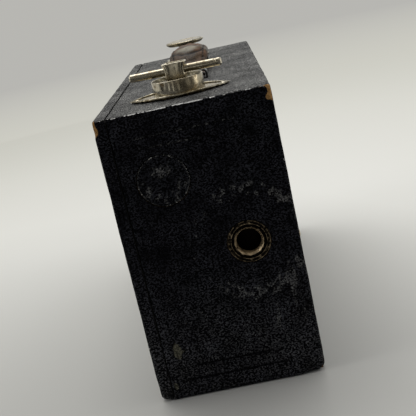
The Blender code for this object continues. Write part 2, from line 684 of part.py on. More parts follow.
def make_spools():
    """Two film spools on their lower pivots."""
    length, flange = SPOOL_LENGTH, SPOOL_FLANGE_THICK
    profile = [(0, length - SPOOL_BORE_DEPTH), (SPOOL_BORE_R, length - SPOOL_BORE_DEPTH),
               (SPOOL_BORE_R, length),
               (SPOOL_FLANGE_R, length), (SPOOL_FLANGE_R, length - flange), (SPOOL_CORE_R, length - flange),
               (SPOOL_CORE_R, flange), (SPOOL_FLANGE_R, flange), (SPOOL_FLANGE_R, 0), (SPOOL_BORE_R, 0),
               (SPOOL_BORE_R, SPOOL_BORE_DEPTH), (0, SPOOL_BORE_DEPTH)]
    pin = SPOOL_BORE_R - GAP
    pivot = [(0, SPOOL_BORE_DEPTH), (pin, SPOOL_BORE_DEPTH), (pin, PIVOT_FLANGE_THICK),
             (PIVOT_FLANGE_R, PIVOT_FLANGE_THICK), (PIVOT_FLANGE_R, 0), (PIVOT_STUB_R, 0),
             (PIVOT_STUB_R, -PIVOT_STUB_DEPTH), (0, -PIVOT_STUB_DEPTH)]
    for name, pivot_name, x in (("take_up_spool", "take_up_pivot", -SPOOL_X),
                                ("supply_spool", "supply_pivot", SPOOL_X)):
        spool = turned(name, profile, WOOD, (x, SPOOL_Y, SPOOL_BASE), steps=MEDIUM)
        half_w, half_l = SPOOL_SLOT_WIDTH / 2, SPOOL_SLOT_LENGTH / 2
        slot = box_tool(name + "_slot", (x - half_w, SPOOL_Y - half_l, SPOOL_TOP - SPOOL_SLOT_DEPTH),
                        (x + half_w, SPOOL_Y + half_l, SPOOL_TOP + SPOOL_SLOT_DEPTH))
        cut(spool, slot)
        turned(pivot_name, pivot, STEEL, (x, SPOOL_Y, IN_BASE + GAP), steps=COARSE)


def make_film_path():
    """Gate that frames the picture, and the two rollers that the film bends over."""
    half_w = CHAMBER_X + PARTITION
    low_z, high_z = IN_BASE + GAP, IN_TOP - GAP
    gate = box("film_gate", (-half_w, GATE_Y + GAP, low_z), (half_w, GATE_Y + GAP + GATE_THICK, high_z),
               BLACK_METAL)
    half = PICTURE / 2 - GATE_BORDER / 2
    middle = (low_z + high_z) / 2
    cut(gate, box_tool("picture", (-half, GATE_Y - GATE_THICK, middle - half),
                       (half, GATE_Y + 3 * GATE_THICK, middle + half)))
    x = CHAMBER_X + PARTITION + ROLLER_OUTSIDE_GATE
    top, pin = high_z - low_z, ROLLER_PIN_DEPTH
    profile = [(0, top + pin), (ROLLER_PIN_R, top + pin), (ROLLER_PIN_R, top), (ROLLER_R, top), (ROLLER_R, 0),
               (ROLLER_PIN_R, 0), (ROLLER_PIN_R, -pin), (0, -pin)]
    for name, side in (("guide_roller_near", -1), ("guide_roller_far", 1)):
        turned(name, profile, STEEL, (side * x, ROLLER_Y, low_z), steps=COARSE)


def make_release():
    """Leather-faced button in the near end, and the latch spring that it bends."""
    depth = OUT_X - IN_X + GAP
    rim = BUTTON_R + BUTTON_RIM
    rim_end = -depth - BUTTON_RIM_THICK
    turned("release_button", [(0, 0), (BUTTON_R, 0), (BUTTON_R, -depth), (rim, -depth), (rim, rim_end),
                              (BUTTON_PIP_R, rim_end), (BUTTON_PIP_R, rim_end - BUTTON_PIP),
                              (0, rim_end - BUTTON_PIP)],
           BLACK_LEATHER, (-OUT_X, BUTTON_Y, BUTTON_Z), FACE_NEAR_END, FINE)

    low_y, high_y = -LATCH_WIDTH / 2, LATCH_WIDTH / 2
    nose_low = NOSE_Z - LATCH_BASE_Z
    nose_top = nose_low + NOSE_HEIGHT
    tip_y = high_y + NOSE_REACH
    blade = [(low_y, 0), (high_y, 0), (high_y, nose_low), (tip_y, nose_low), (tip_y, nose_top),
             (low_y, nose_top)]
    middle = LATCH_X + LATCH_THICK / 2
    latch = flat_outline("latch_spring", [blade], LATCH_THICK, STEEL, (middle, BUTTON_Y, LATCH_BASE_Z),
                         FACE_FAR_END)
    foot = box_tool("latch_foot", (-IN_X + GAP, BUTTON_Y + low_y + GAP, LATCH_BASE_Z + GAP),
                    (middle, BUTTON_Y + high_y - GAP, LATCH_BASE_Z + LATCH_FOOT))
    nose = box_tool("latch_nose", (KEEPER_X + KEEPER_THICK + GAP, NOSE_Y + GAP, NOSE_Z + GAP),
                    (middle, NOSE_Y + NOSE_REACH - GAP, NOSE_Z + NOSE_HEIGHT - GAP))
    unite(latch, foot, nose)


def make_rear_cover():
    """Panel with its leather, red window, keeper and hinge leaves."""
    panel = box("cover_panel", (-WOOD_X, SEAM_Y, COVER_LIFT + SKIN), (WOOD_X, REAR_Y - SKIN, WOOD_TOP), WOOD)
    step_x = IN_X - SWING_GAP
    step = box_tool("cover_step", (-step_x, SEAM_Y - COVER_STEP, IN_BASE + SWING_GAP),
                    (step_x, SEAM_Y + GAP, IN_TOP - SWING_GAP))
    unite(panel, step)
    sides = ((1, 0, 0), (-1, 0, 0), (0, 1, 0), (0, 0, 1), (0, 0, -1))
    leather = open_shell("cover_leather", (-OUT_X, SEAM_Y, COVER_LIFT), (OUT_X, REAR_Y, HEIGHT), sides,
                         BLACK_LEATHER)

    centre = (0, REAR_Y, HEIGHT / 2)
    window = drill("window_hole", WINDOW_R, 2 * COVER_THICK, centre, FACE_REAR)
    glass_r = WINDOW_R + WINDOW_RIM
    glass_seat = turned_tool("glass_seat", [(0, 0), (glass_r + GAP, 0), (glass_r + GAP, -glass_depth() - GAP),
                                            (0, -glass_depth() - GAP)],
                                            (0, REAR_Y - LEATHER - GAP / 2, HEIGHT / 2),
                             FACE_REAR)
    cut(panel, glass_seat, window)
    cut(leather, window)
    turned("red_window", [(0, 0), (glass_r, 0), (glass_r, -WINDOW_GLASS_THICK), (0, -WINDOW_GLASS_THICK)],
           RED_FILM, (0, REAR_Y - SKIN, HEIGHT / 2), FACE_REAR)
    inner = WINDOW_R - GAP
    turned("window_ring", [(inner, WINDOW_RING_THICK), (WINDOW_RING_R - GAP, WINDOW_RING_THICK),
                           (WINDOW_RING_R, 0),
                           (inner, 0)], NICKEL, (0, REAR_Y + GAP, HEIGHT / 2), FACE_REAR, FINE)

    keeper_y = SEAM_Y - COVER_STEP - GAP
    low_z = NOSE_Z + NOSE_HEIGHT / 2 - KEEPER_HEIGHT / 2
    high_z = low_z + KEEPER_HEIGHT
    keeper = box("cover_keeper", (KEEPER_X, NOSE_Y, low_z), (KEEPER_X + KEEPER_THICK, keeper_y, high_z),
                 STEEL)
    base = box_tool("keeper_base", (KEEPER_X, keeper_y - KEEPER_THICK, low_z),
                    (KEEPER_X + KEEPER_BASE, keeper_y, high_z))
    catch = box_tool("keeper_catch", (KEEPER_X - KEEPER_THICK, NOSE_Y + GAP, NOSE_Z - GAP),
                     (KEEPER_X + 2 * KEEPER_THICK, NOSE_Y + NOSE_REACH + GAP, NOSE_Z + NOSE_HEIGHT + GAP))
    unite(keeper, base)
    cut(keeper, catch)
    make_hinge()


def glass_depth():
    return WINDOW_GLASS_THICK + GAP


def make_hinge():
    """Two leaves on one pin at the far rear edge; the cover carries the middle knuckle."""
    third = HINGE_HEIGHT / 3
    low = HINGE_Z - HINGE_HEIGHT / 2
    axis = (HINGE_X, HINGE_Y)
    leaf_x = (OUT_X + GAP, OUT_X + GAP + HINGE_LEAF)
    pin_hole = drill("hinge_pin_hole", HINGE_PIN_R + GAP, HINGE_HEIGHT, (*axis, HINGE_Z), steps=COARSE)

    fixed = box("cover_hinge_fixed", (leaf_x[0], HINGE_Y - HINGE_LEAF_WIDTH, low),
                (leaf_x[1], HINGE_Y - KNUCKLE_R - GAP, low + HINGE_HEIGHT), STEEL)
    for i in (0, 2):
        start = low + i * third
        web = box_tool("fixed_web", (leaf_x[0], HINGE_Y - 2 * KNUCKLE_R, start + GAP),
                       (leaf_x[1], HINGE_Y, start + third - GAP))
        knuckle = knuckle_tool("fixed_knuckle", axis, start + GAP, third - 2 * GAP)
        unite(fixed, web, knuckle)
    cut(fixed, pin_hole)

    start = low + third
    leaf_y = (SEAM_Y + KNUCKLE_R / 2, REAR_Y - EDGE_ROUND)
    moving = box("cover_hinge_moving", (leaf_x[0], leaf_y[0], low),
                 (leaf_x[1], leaf_y[1], low + HINGE_HEIGHT),
                 STEEL, (*axis, HINGE_Z))
    clear_low = box_tool("moving_clear_low", (OUT_X, HINGE_Y - KNUCKLE_R, low - third),
                         (OUT_X + 2 * KNUCKLE_R, HINGE_Y + KNUCKLE_R + GAP, start + GAP))
    clear_high = box_tool("moving_clear_high", (OUT_X, HINGE_Y - KNUCKLE_R, start + third - GAP),
                          (OUT_X + 2 * KNUCKLE_R, HINGE_Y + KNUCKLE_R + GAP, low + HINGE_HEIGHT + third))
    web = box_tool("moving_web", (leaf_x[0], HINGE_Y, start + 2 * GAP),
                   (leaf_x[1], leaf_y[1], start + third - 2 * GAP))
    knuckle = knuckle_tool("moving_knuckle", axis, start + 2 * GAP, third - 4 * GAP)
    cut(moving, clear_low, clear_high)
    unite(moving, web, knuckle)
    cut(moving, pin_hole)

    half = HINGE_HEIGHT / 2
    turned("hinge_pin", [(0, half), (HINGE_PIN_R, half), (HINGE_PIN_R, -half), (0, -half)], STEEL,
           (*axis, HINGE_Z), steps=COARSE)


def knuckle_tool(name, axis, base, height):
    """Knuckle turned by half a facet, so that a flat of it lies along the leaf."""
    profile = [(0, height), (KNUCKLE_R, height), (KNUCKLE_R, 0), (0, 0)]
    return turned_tool(name, profile, (*axis, base), (0, 0, pi / COARSE), COARSE)


def strap_rise(x):
    """Share of its full height that the strap has at x: none at its flat ends, all at the crest."""
    run = STRAP_HALF - STRAP_FLAT_END - abs(x)
    t = min(1.0, max(0.0, run / STRAP_RISE))
    return t * t * (3 - 2 * t)


def strap_section(x):
    """Rounded section of the strap at x, thicker and wider towards the crest."""
    share = strap_rise(x)
    thick = STRAP_END_THICK + (STRAP_THICK - STRAP_END_THICK) * share
    width = STRAP_END_WIDTH + (STRAP_WIDTH - STRAP_END_WIDTH) * share
    under = GAP + (STRAP_CREST - STRAP_THICK - GAP) * share
    power = 2 / STRAP_SQUARENESS
    points = []
    for cosine, sine in circle(1, MEDIUM):
        y = abs(cosine) ** power * (1 if cosine > 0 else -1)
        z = abs(sine) ** power * (1 if sine > 0 else -1)
        points.append((x, STRAP_Y + y * width / 2, HEIGHT + under + (1 + z) * thick / 2))
    return points


def make_strap():
    """Arched leather strap, lofted through its sections, and the two metal loops over its ends."""
    shape = bmesh.new()
    rings = []
    for i in range(STRAP_STEPS + 1):
        x = STRAP_HALF * (2 * i / STRAP_STEPS - 1)
        rings.append([shape.verts.new(point) for point in strap_section(x)])
    for ring, following in zip(rings, rings[1:]):
        for j in range(MEDIUM):
            k = (j + 1) % MEDIUM
            shape.faces.new((ring[j], ring[k], following[k], following[j]))
    shape.faces.new(rings[0])
    shape.faces.new(rings[-1])
    bmesh.ops.recalc_face_normals(shape, faces=shape.faces)
    mesh = bpy.data.meshes.new("handle_strap")
    shape.to_mesh(mesh)
    shape.free()
    link_piece("handle_strap", mesh, BROWN_LEATHER)

    inner, outer = loop_leg()
    under = STRAP_END_THICK + GAP
    top = under + LOOP_THICK
    outline = [(outer, -LOOP_LEG), (outer, top), (-outer, top), (-outer, -LOOP_LEG),
               (-inner, -LOOP_LEG), (-inner, under), (inner, under), (inner, -LOOP_LEG)]
    for name, side in (("strap_loop_near", -1), ("strap_loop_far", 1)):
        flat_outline(name, [outline], LOOP_WIDTH, BLACK_METAL, (side * LOOP_X, STRAP_Y, TOP_SEAT),
                     FACE_FAR_END)


def loop_leg():
    """Inner and outer side of a loop's leg, from the strap's middle line."""
    inner = STRAP_END_WIDTH / 2 + GAP
    return inner, inner + LOOP_THICK


def loop_leg_holes():
    """Cutters for the four holes that the loops' legs are driven into."""
    inner, outer = loop_leg()
    half = LOOP_WIDTH / 2 + GAP
    low_z, high_z = TOP_SEAT - LOOP_LEG - GAP, TOP_SEAT + LOOP_LEG
    holes = []
    for x in (LOOP_X, -LOOP_X):
        for low_y, high_y in ((inner, outer), (-outer, -inner)):
            holes.append(box_tool("loop_leg_hole", (x - half, STRAP_Y + low_y - GAP, low_z),
                                  (x + half, STRAP_Y + high_y + GAP, high_z)))
    return holes


def make_lens():
    """Front ring, lens and the cell that holds it in the lens board."""
    proud, tube = BEZEL_PROUD, FRONT_HOLE_R - GAP
    seat = -GAP - BOARD / 2
    turned("lens_bezel", [(tube - BEZEL_WALL, proud - BEZEL_WALL), (tube + BEZEL_WALL, proud),
                          (BEZEL_R, proud / 2),
                          (BEZEL_R, GAP), (tube, GAP), (tube, seat), (tube - BEZEL_WALL, seat)],
           NICKEL, (0, FRONT_Y, LENS_Z), FACE_FRONT, FINE)
    barrel = LENS_R + CELL_WALL
    back = LENS_BOARD_REAR + GAP
    cell_depth = back + CELL_FLANGE - LENS_BOARD_FRONT
    turned("lens_cell", [(LENS_R + GAP, 0), (barrel, 0), (barrel, CELL_FLANGE - cell_depth),
                         (CELL_R, CELL_FLANGE - cell_depth), (CELL_R, -cell_depth),
                         (LENS_R - CELL_WALL, -cell_depth),
                         (LENS_R - CELL_WALL, CELL_WALL - cell_depth),
                         (LENS_R + GAP, CELL_WALL - cell_depth)],
           BLACK_METAL, (0, LENS_BOARD_FRONT, LENS_Z), FACE_FRONT, FINE)
    crown = [(LENS_R * sin(radians(a)), LENS_CROWN * cos(radians(a))) for a in range(0, 91, 15)]
    glass = [(radius, height + LENS_EDGE) for radius, height in crown]
    lens_y = LENS_BOARD_FRONT + cell_depth - CELL_WALL - GAP
    turned("lens", glass + [(LENS_R, 0), (0, 0)], GLASS, (0, lens_y, LENS_Z), FACE_FRONT, MEDIUM)


def lever_slot(through):
    """Curved slot that the shutter lever's tab swings in."""
    reach = LEVER_REACH
    half = radians(LEVER_SWING / 2) + (TAB_R + 2 * GAP) / reach
    width = TAB_R + 2 * GAP
    outer = arc((0, 0), reach + width, -half, half, CURVE_STEPS)
    inner = arc((0, 0), reach - width, half, -half, CURVE_STEPS)
    place = (LEVER_X, WOOD_FRONT, LEVER_Z)
    return as_cutter(flat_outline("lever_slot", [outer + inner], 2 * through, BLACK_METAL, place, FACE_FRONT))


def stop_slot(through):
    """Straight slot above the lens that the stop slide's tab runs in."""
    outline = slot_outline(STOP_TRAVEL + 2 * TAB_R + 4 * GAP, 2 * TAB_R + 4 * GAP)
    place = (STOP_TRAVEL / 2, WOOD_FRONT, LENS_Z + STOP_TAB_ABOVE)
    return as_cutter(flat_outline("stop_slot", [outline], 2 * through, BLACK_METAL, place, FACE_FRONT))


def time_slot(through):
    """Upright slot for the time slide's tab."""
    outline = slot_outline(TIME_TRAVEL + 2 * TAB_R + 4 * GAP, 2 * TAB_R + 4 * GAP)
    place = (TIME_X, WOOD_FRONT, TIME_Z + TIME_TRAVEL / 2)
    turn = (pi / 2, pi / 2, 0)
    return as_cutter(flat_outline("time_slot", [outline], 2 * through, BLACK_METAL, place, turn))


def tab_tool(name, x, z, from_y):
    """Round tab that stands out through the front, where a finger pushes it."""
    length = from_y - FRONT_Y + TAB_PROUD
    profile = [(0, length), (TAB_R / 2, length), (TAB_R, length - TAB_R / 2), (TAB_R, 0), (0, 0)]
    return turned_tool(name, profile, (x, from_y, z), FACE_FRONT, COARSE)


def make_shutter():
    """Turning disc, its lever and the two slides, between the front and the lens board."""
    disc_place = (-DISC_OFFSET, DISC_Y, LENS_Z)
    hole_angle = radians(DISC_HOLE_AT)
    hole = circle(DISC_HOLE_R, MEDIUM, (DISC_OFFSET * cos(hole_angle), DISC_OFFSET * sin(hole_angle)))
    flat_outline("shutter_disc", [circle(DISC_R, FINE), circle(PIVOT_HOLE_R, COARSE), hole], BLADE_THICK,
                 BLACK_METAL, disc_place, FACE_FRONT)
    make_pivot("shutter_pivot", -DISC_OFFSET, LENS_Z, DISC_Y)

    rest = -radians(LEVER_SWING / 2)
    lever_place = (LEVER_X, LEVER_Y, LEVER_Z)
    round_end = arc((LEVER_REACH, 0), LEVER_WIDTH / 2, -pi / 2, pi / 2, CURVE_STEPS)
    pivot_end = arc((0, 0), LEVER_WIDTH / 2, pi / 2, 3 * pi / 2, CURVE_STEPS)
    lever = flat_outline("shutter_lever", [round_end + pivot_end, circle(PIVOT_HOLE_R, COARSE)], BLADE_THICK,
                         STEEL, lever_place, (pi / 2, -rest, 0))
    tab_x, tab_z = LEVER_X + LEVER_REACH * cos(rest), LEVER_Z + LEVER_REACH * sin(rest)
    unite(lever, tab_tool("lever_tab", tab_x, tab_z, LEVER_Y))
    make_pivot("lever_pivot", LEVER_X, LEVER_Z, LEVER_Y)
    make_lever_spring()

    strip_left = -STOP_TRAVEL - STOP_HEIGHT / 2
    strip = [(strip_left, -STOP_HEIGHT / 2), (strip_left + STOP_LENGTH, -STOP_HEIGHT / 2),
             (strip_left + STOP_LENGTH, STOP_HEIGHT / 2), (LEVER_WIDTH / 2, STOP_HEIGHT / 2),
             (LEVER_WIDTH / 2, STOP_TAB_ABOVE + LEVER_WIDTH / 2),
             (-LEVER_WIDTH / 2, STOP_TAB_ABOVE + LEVER_WIDTH / 2),
             (-LEVER_WIDTH / 2, STOP_HEIGHT / 2), (strip_left, STOP_HEIGHT / 2)]
    sizes = (1.0, 0.7, 0.5)
    holes = [circle(STOP_HOLE_R * share, COARSE, (-STOP_STEP * i, 0)) for i, share in enumerate(sizes)]
    slide = flat_outline("stop_slide", [strip] + holes, BLADE_THICK, BLACK_METAL, (0, STOP_Y, LENS_Z),
                         FACE_FRONT)
    unite(slide, tab_tool("stop_tab", 0, LENS_Z + STOP_TAB_ABOVE, STOP_Y))

    half = TIME_PLATE / 2
    low = (TIME_X - half, STOP_Y - BLADE_THICK / 2, TIME_Z - half)
    high = (TIME_X + half, STOP_Y + BLADE_THICK / 2, TIME_Z + half)
    time = box("time_slide", low, high, BLACK_METAL, (TIME_X, STOP_Y, TIME_Z))
    unite(time, tab_tool("time_tab", TIME_X, TIME_Z, STOP_Y))


def make_pivot(name, x, z, blade_y):
    """Shouldered post on the lens board that carries a blade, headed in front of it."""
    foot = LENS_BOARD_FRONT - GAP
    shoulder = foot - blade_y - BLADE_THICK / 2 - GAP
    tip = shoulder + BLADE_THICK + 3 * GAP
    profile = [(0, tip), (PIVOT_R, tip), (PIVOT_R, shoulder), (2 * PIVOT_R, shoulder), (2 * PIVOT_R, 0),
               (0, 0)]
    turned(name, profile, STEEL, (x, foot, z), FACE_FRONT, COARSE)


def make_lever_spring():
    """Coil round the lever's post, as one unbroken wire."""
    radius = 2 * PIVOT_R + GAP + SPRING_WIRE_R
    pitch = 2 * SPRING_WIRE_R + GAP
    count = SPRING_TURNS * SPRING_POINTS + 1
    curve = bpy.data.curves.new("shutter_spring_wire", 'CURVE')
    curve.dimensions = '3D'
    curve.bevel_depth = SPRING_WIRE_R
    curve.bevel_resolution = 1
    curve.use_fill_caps = True
    spline = curve.splines.new('POLY')
    spline.points.add(count - 1)
    for i, point in enumerate(spline.points):
        angle = tau * i / SPRING_POINTS
        y = LENS_BOARD_FRONT - GAP - SPRING_WIRE_R - pitch * i / SPRING_POINTS
        point.co = (LEVER_X + radius * cos(angle), y, LEVER_Z + radius * sin(angle), 1)
    holder = bpy.data.objects.new("shutter_spring_wire", curve)
    PARTS.objects.link(holder)
    mesh_from_curve("shutter_spring", holder, STEEL)


def make_finder():
    """Lens in the front, mirror at 45 degrees and viewing screen in the far end."""
    edge = FINDER_LENS_THICK
    crown = [(FINDER_LENS_R * sin(radians(a)), edge * 0.5 * cos(radians(a))) for a in range(0, 91, 15)]
    profile = [(radius, height + edge / 2) for radius, height in crown] + [(FINDER_LENS_R, -edge), (0, -edge)]
    turned("finder_lens", profile, GLASS, (FINDER_X, WOOD_FRONT + 2 * edge, FINDER_Z), FACE_FRONT)

    half_w = MIRROR_WIDTH / 2 / cos(pi / 4) - MIRROR_THICK
    top = IN_TOP - GAP
    low_z = FINDER_Z - FINDER_SCREEN_HEIGHT / 2
    mesh = box_mesh("finder_mirror", (-half_w, 0, low_z), (half_w, MIRROR_THICK, top))
    link_piece("finder_mirror", mesh, MIRROR, (FINDER_X, FINDER_Y, 0), (0, 0, pi / 4))

    half_y, half_z = FINDER_SCREEN_WIDTH / 2, FINDER_SCREEN_HEIGHT / 2
    box("finder_screen", (WOOD_X - FINDER_GLASS, FINDER_Y - half_y, FINDER_Z - half_z),
        (WOOD_X, FINDER_Y + half_y, FINDER_Z + half_z), GLASS)
    bezel_x = (OUT_X + GAP, OUT_X + GAP + FINDER_BEZEL_THICK)
    out_y, out_z = half_y + FINDER_RIM, half_z + FINDER_RIM
    bezel = box("finder_bezel", (bezel_x[0], FINDER_Y - out_y, FINDER_Z - out_z),
                (bezel_x[1], FINDER_Y + out_y, FINDER_Z + out_z), NICKEL)
    in_y, in_z = half_y - GAP, half_z - GAP
    cut(bezel, box_tool("bezel_opening", (OUT_X - BOARD, FINDER_Y - in_y, FINDER_Z - in_z),
                        (OUT_X + BOARD, FINDER_Y + in_y, FINDER_Z + in_z)))


def main():
    boards, through = make_case()
    make_coverings(boards, through)
    make_bushes()
    make_winding_key()
    make_pull_knob()
    make_spools()
    make_film_path()
    make_release()
    make_rear_cover()
    make_strap()
    make_lens()
    make_shutter()
    make_finder()


main()
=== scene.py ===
"""Looks of the box camera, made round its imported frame.

Units are metres, +Z up. X runs along the case with the near end at -X, the lens looks along
-Y and the rear cover closes the case at +Y. Every new surface is a grid of points worked out
as whole arrays.
"""

from math import cos, pi, radians, sin, tau

import bmesh
import bpy
import numpy as np
from mathutils import Matrix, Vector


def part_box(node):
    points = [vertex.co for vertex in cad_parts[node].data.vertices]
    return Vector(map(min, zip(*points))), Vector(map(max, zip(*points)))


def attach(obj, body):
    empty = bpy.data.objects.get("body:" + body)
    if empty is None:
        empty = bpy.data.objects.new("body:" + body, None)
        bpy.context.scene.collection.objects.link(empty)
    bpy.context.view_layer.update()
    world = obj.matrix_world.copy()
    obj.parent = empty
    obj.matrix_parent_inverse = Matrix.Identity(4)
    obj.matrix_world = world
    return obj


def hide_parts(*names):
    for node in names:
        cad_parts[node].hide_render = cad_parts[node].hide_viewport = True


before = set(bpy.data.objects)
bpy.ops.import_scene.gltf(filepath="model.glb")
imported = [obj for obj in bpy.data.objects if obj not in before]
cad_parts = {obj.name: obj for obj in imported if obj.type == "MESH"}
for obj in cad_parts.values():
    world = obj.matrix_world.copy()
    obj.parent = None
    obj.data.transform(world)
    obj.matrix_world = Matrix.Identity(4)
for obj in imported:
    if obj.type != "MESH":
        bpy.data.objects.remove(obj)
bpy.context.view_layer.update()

# A millimetre, how near points are merged, and the angle in degrees past which an edge is sharp
MM = 0.001
MERGE = 0.000001
SHARP = 40


def corners(node):
    """Lowest and highest corner of a frame node, as arrays."""
    low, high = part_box(node)
    return np.array(low), np.array(high)


def middle(node):
    """Middle of a frame node's box."""
    low, high = corners(node)
    return (low + high) / 2


# The case and the cover, from the frame
WRAP_LOW, CASE_HIGH = corners("case_covering")
CASE_LOW = np.array((WRAP_LOW[0], WRAP_LOW[1], corners("base_covering")[0][2]))
COVER_LOW, COVER_HIGH = corners("cover_leather")
FRONT = CASE_LOW[1]
TOP = CASE_HIGH[2]
BUTTON = middle("release_button")
BUSH = middle("end_bush")
BASE_BUSH = middle("base_bush")
KEY = middle("key_plate")
KNOB = middle("knob_plate")
STRAP = middle("handle_strap")
LENS = middle("lens_bezel")
FINDER = middle("finder_lens")
WINDOW = middle("window_ring")
DRIVE_TOP = corners("take_up_spool")[1][2] + 0.5 * MM

# Leather skins: thickness, edge rounding, grid steps and how deep each mark lies
LEATHER = 0.7 * MM
RIM_INK = 3 * MM
EDGE = 1.0 * MM
SEAM_EDGE = 0.55 * MM
WORN_EDGE = 3.1 * MM
WORN_COVER_EDGE = 2.0 * MM
WORN_REACH = 5 * MM
EDGE_LINES = np.array((0.15, 0.35, 0.6, 0.8, 1.0, 1.3)) * EDGE
LINE_GAP = 0.08 * MM
FIT = 0.3 * MM
END_STEP = 0.5 * MM
TOP_STEP = 0.7 * MM
SIDE_STEP = 0.8 * MM
BASE_STEP = 1.3 * MM
UNEVEN = 0.03 * MM
BARE_DEPTH = 0.30 * MM
WORN_DEPTH = 0.06 * MM
PEELED_DEPTH = 0.10 * MM
SKIN_MARKS = ("worn", "bare", "rub_and_highlight", "dust_and_sheen", "peeled", "glint_cut")

# Marks on the leather. Tooled lines are (height, left end, right end) and chips are (Y, Z, radius),
# in millimetres on the near end
TOOL_WIDTH = 0.45 * MM
TOOL_DEPTH = 0.34 * MM
TOOL_FADE = 6 * MM
TOOL_GRID = np.array((-0.5, -0.2, 0, 0.2, 0.5)) * MM
END_LINES = ((7.0, 22, -19), (12.4, 17, -14), (101.0, 19, -18), (97.0, 16, -5))
CHIPS = ((21.3, 19.2, 1.75), (24.9, 5.4, 0.8))
CHIP_TALL = 1.6
RUB_R = 19.8 * MM
RUB_WIDTH = 2.1 * MM
# Share of the painted glints and the coat's gloss taken off the leather's sides and its top
SIDE_GLINT_CUT = 0.7
TOP_GLINT_CUT = 0.4
TOP_FRAME_X = 31.3 * MM
TOP_FRAME_Y = 15.8 * MM
BARE_FRONT = np.array((1.6, 3.4, 5.2)) * MM
BARE_REAR = np.array((2.0, 2.1, 6.0)) * MM

# Button, bushes and the openings in the leather, with what the frame's boxes don't give
BUTTON_R = 9.4 * MM
BUTTON_RIM_R = 10.3 * MM
BUTTON_RIM_FROM = 7.3 * MM
BUTTON_RIM_TO = 8.1 * MM
BUTTON_PIN_R = 2.5 * MM
BUSH_R = 7.85 * MM
BUSH_BODY_R = 6.1 * MM
BUSH_BORE_R = 4.75 * MM
BUSH_DEPTH = 6.7 * MM
BUSH_END = 7.5 * MM
BUSH_FLANGE = 1.6 * MM
BUSH_GROOVE = 0.55 * MM
THREAD_PITCH = 1.5875 * MM
THREAD_DEPTH = 0.5 * MM
THREAD_ROWS = 72
SLEEVE_R = 5.5 * MM
SCREEN_HALF = np.array((5.6, 6.6)) * MM
FRONT_HOLE_R = 11 * MM
FINDER_R = 5 * MM
SLOT_R = 1.8 * MM
STOP_FROM = np.array((0, 75)) * MM
STOP_TO = np.array((22, 75)) * MM
TIME_FROM = np.array((-26, 34)) * MM
TIME_TO = np.array((-26, 39)) * MM
LEVER_AT = np.array((22, 40)) * MM
LEVER_REACH = 16 * MM
LEVER_HALF = radians(14)
WINDOW_R = 7 * MM

# Winding key, its plate and collar, and the pull knob
PLATE_HALF = 19.2 * MM
PLATE_HALF_WIDTH = 10.75 * MM
PLATE_SCREW = 16.4 * MM
PLATE_THICK = 0.45 * MM
PLATE_BEAD = 0.55 * MM
COLLAR_R = 9.8 * MM
COLLAR_DISH = 1.3 * MM
KEY_TURN = radians(-9)
BAR_R = 1.5 * MM
BAR_HALF = 17.8 * MM
BAR_GROOVE = 2.4 * MM
STEM_HALF = 2.4 * MM
STEM_HOLE_R = 3.7 * MM
TONGUE_HALF = np.array((0.8, 2.1)) * MM
BLOCK_HALF = np.array((2.6, 3.8)) * MM
BLOCK_FLARE = 0.75 * MM
KNOB_R = 9.8 * MM
KNOB_STEM_R = 3.0 * MM
KNOB_PIN_R = 2.0 * MM
KNOB_PLATE_R = 11 * MM
KNOB_BORE_R = 3.3 * MM
KNOB_BOSS = 3.5 * MM

# Carrying strap, its thread and its staples
STRAP_WIDTH = 17 * MM
STRAP_END_WIDTH = 12 * MM
STRAP_HALF = 38 * MM
STRAP_FLAT_END = 8 * MM
STRAP_RISE = 22 * MM
STRAP_CREST = 11.4 * MM
STRAP_THICK = 5 * MM
STRAP_END_THICK = 2.4 * MM
STRAP_POWER = 2.3
STRAP_CROWN = 1.3 * MM
# Oval of painted sheen on the near slope of the strap's crest
SHEEN_X = 9 * MM
SHEEN_HALF = 5 * MM
SHEEN_SHARE = 0.62
STITCH_INSET = 0.80
STITCH_STEP = 2.3 * MM
STITCH_SUNK = 0.18 * MM
STITCH = np.array((0.85, 0.27, 0.22)) * MM
LOOP_X = 34 * MM
LOOP_HALF = 3 * MM
LOOP_LEG = 4 * MM
LOOP_HALF_THICK = 0.5 * MM

# Front, rear and inside
LENS_RING_R = 16 * MM
LENS_WALL = 1.2 * MM
LENS_SAG = 1.4 * MM
CAP_R = 2.1 * MM
WINDOW_RING_R = 10 * MM
HINGE_PROUD = 1.1 * MM
HINGE_SCREWS = 4
SPOOL_CORE_R = 6 * MM
SPOOL_BORE_R = 2.4 * MM
SPOOL_SHEET = 0.8 * MM
ROLLER_R = 2.5 * MM
ROLLER_WAIST_R = 2.1 * MM
ROLLER_PIN_R = 1.2 * MM
ROLLER_PIN = 3 * MM

# Tones, as linear red, green and blue
# Near-black soiling, also painted shade deep in hollows such as the bush's bore and groove
GRIME_AND_SHADE = (0.006, 0.005, 0.004)
# Tarnish of nickel, also painted shade under the knob's head and a painted dark reflection on the key
# plate
TARNISH_AND_SHADE = (0.10, 0.088, 0.058)
PORE_BLACK = (0.0005, 0.0005, 0.0008)
CROWN_BLACK = (0.005, 0.005, 0.0065)
# Painted glints: highlight specks in the black leather's colour
PAINTED_GLINT = (0.060, 0.063, 0.081)
# Dust, and a painted sheen on the top that faces the light
DUST_AND_SHEEN = (0.50, 0.495, 0.468)
# Rubbed leather, and painted highlights along tooled lines and an edge
RUB_AND_HIGHLIGHT = (0.17, 0.17, 0.168)
UNDER_DARK = (0.05, 0.048, 0.036)
UNDER_PALE = (0.13, 0.124, 0.092)
WORN_PALE = (0.80, 0.79, 0.75)
BARE_DARK = (0.11, 0.055, 0.021)
BARE_PALE = (0.52, 0.30, 0.115)
STRAP_DARK = (0.024, 0.014, 0.007)
STRAP_BROWN = (0.128, 0.082, 0.042)
STRAP_RED = (0.15, 0.074, 0.038)
# Painted sheen on the strap's crest, where handling has worn it
STRAP_SHEEN = (0.20, 0.172, 0.10)
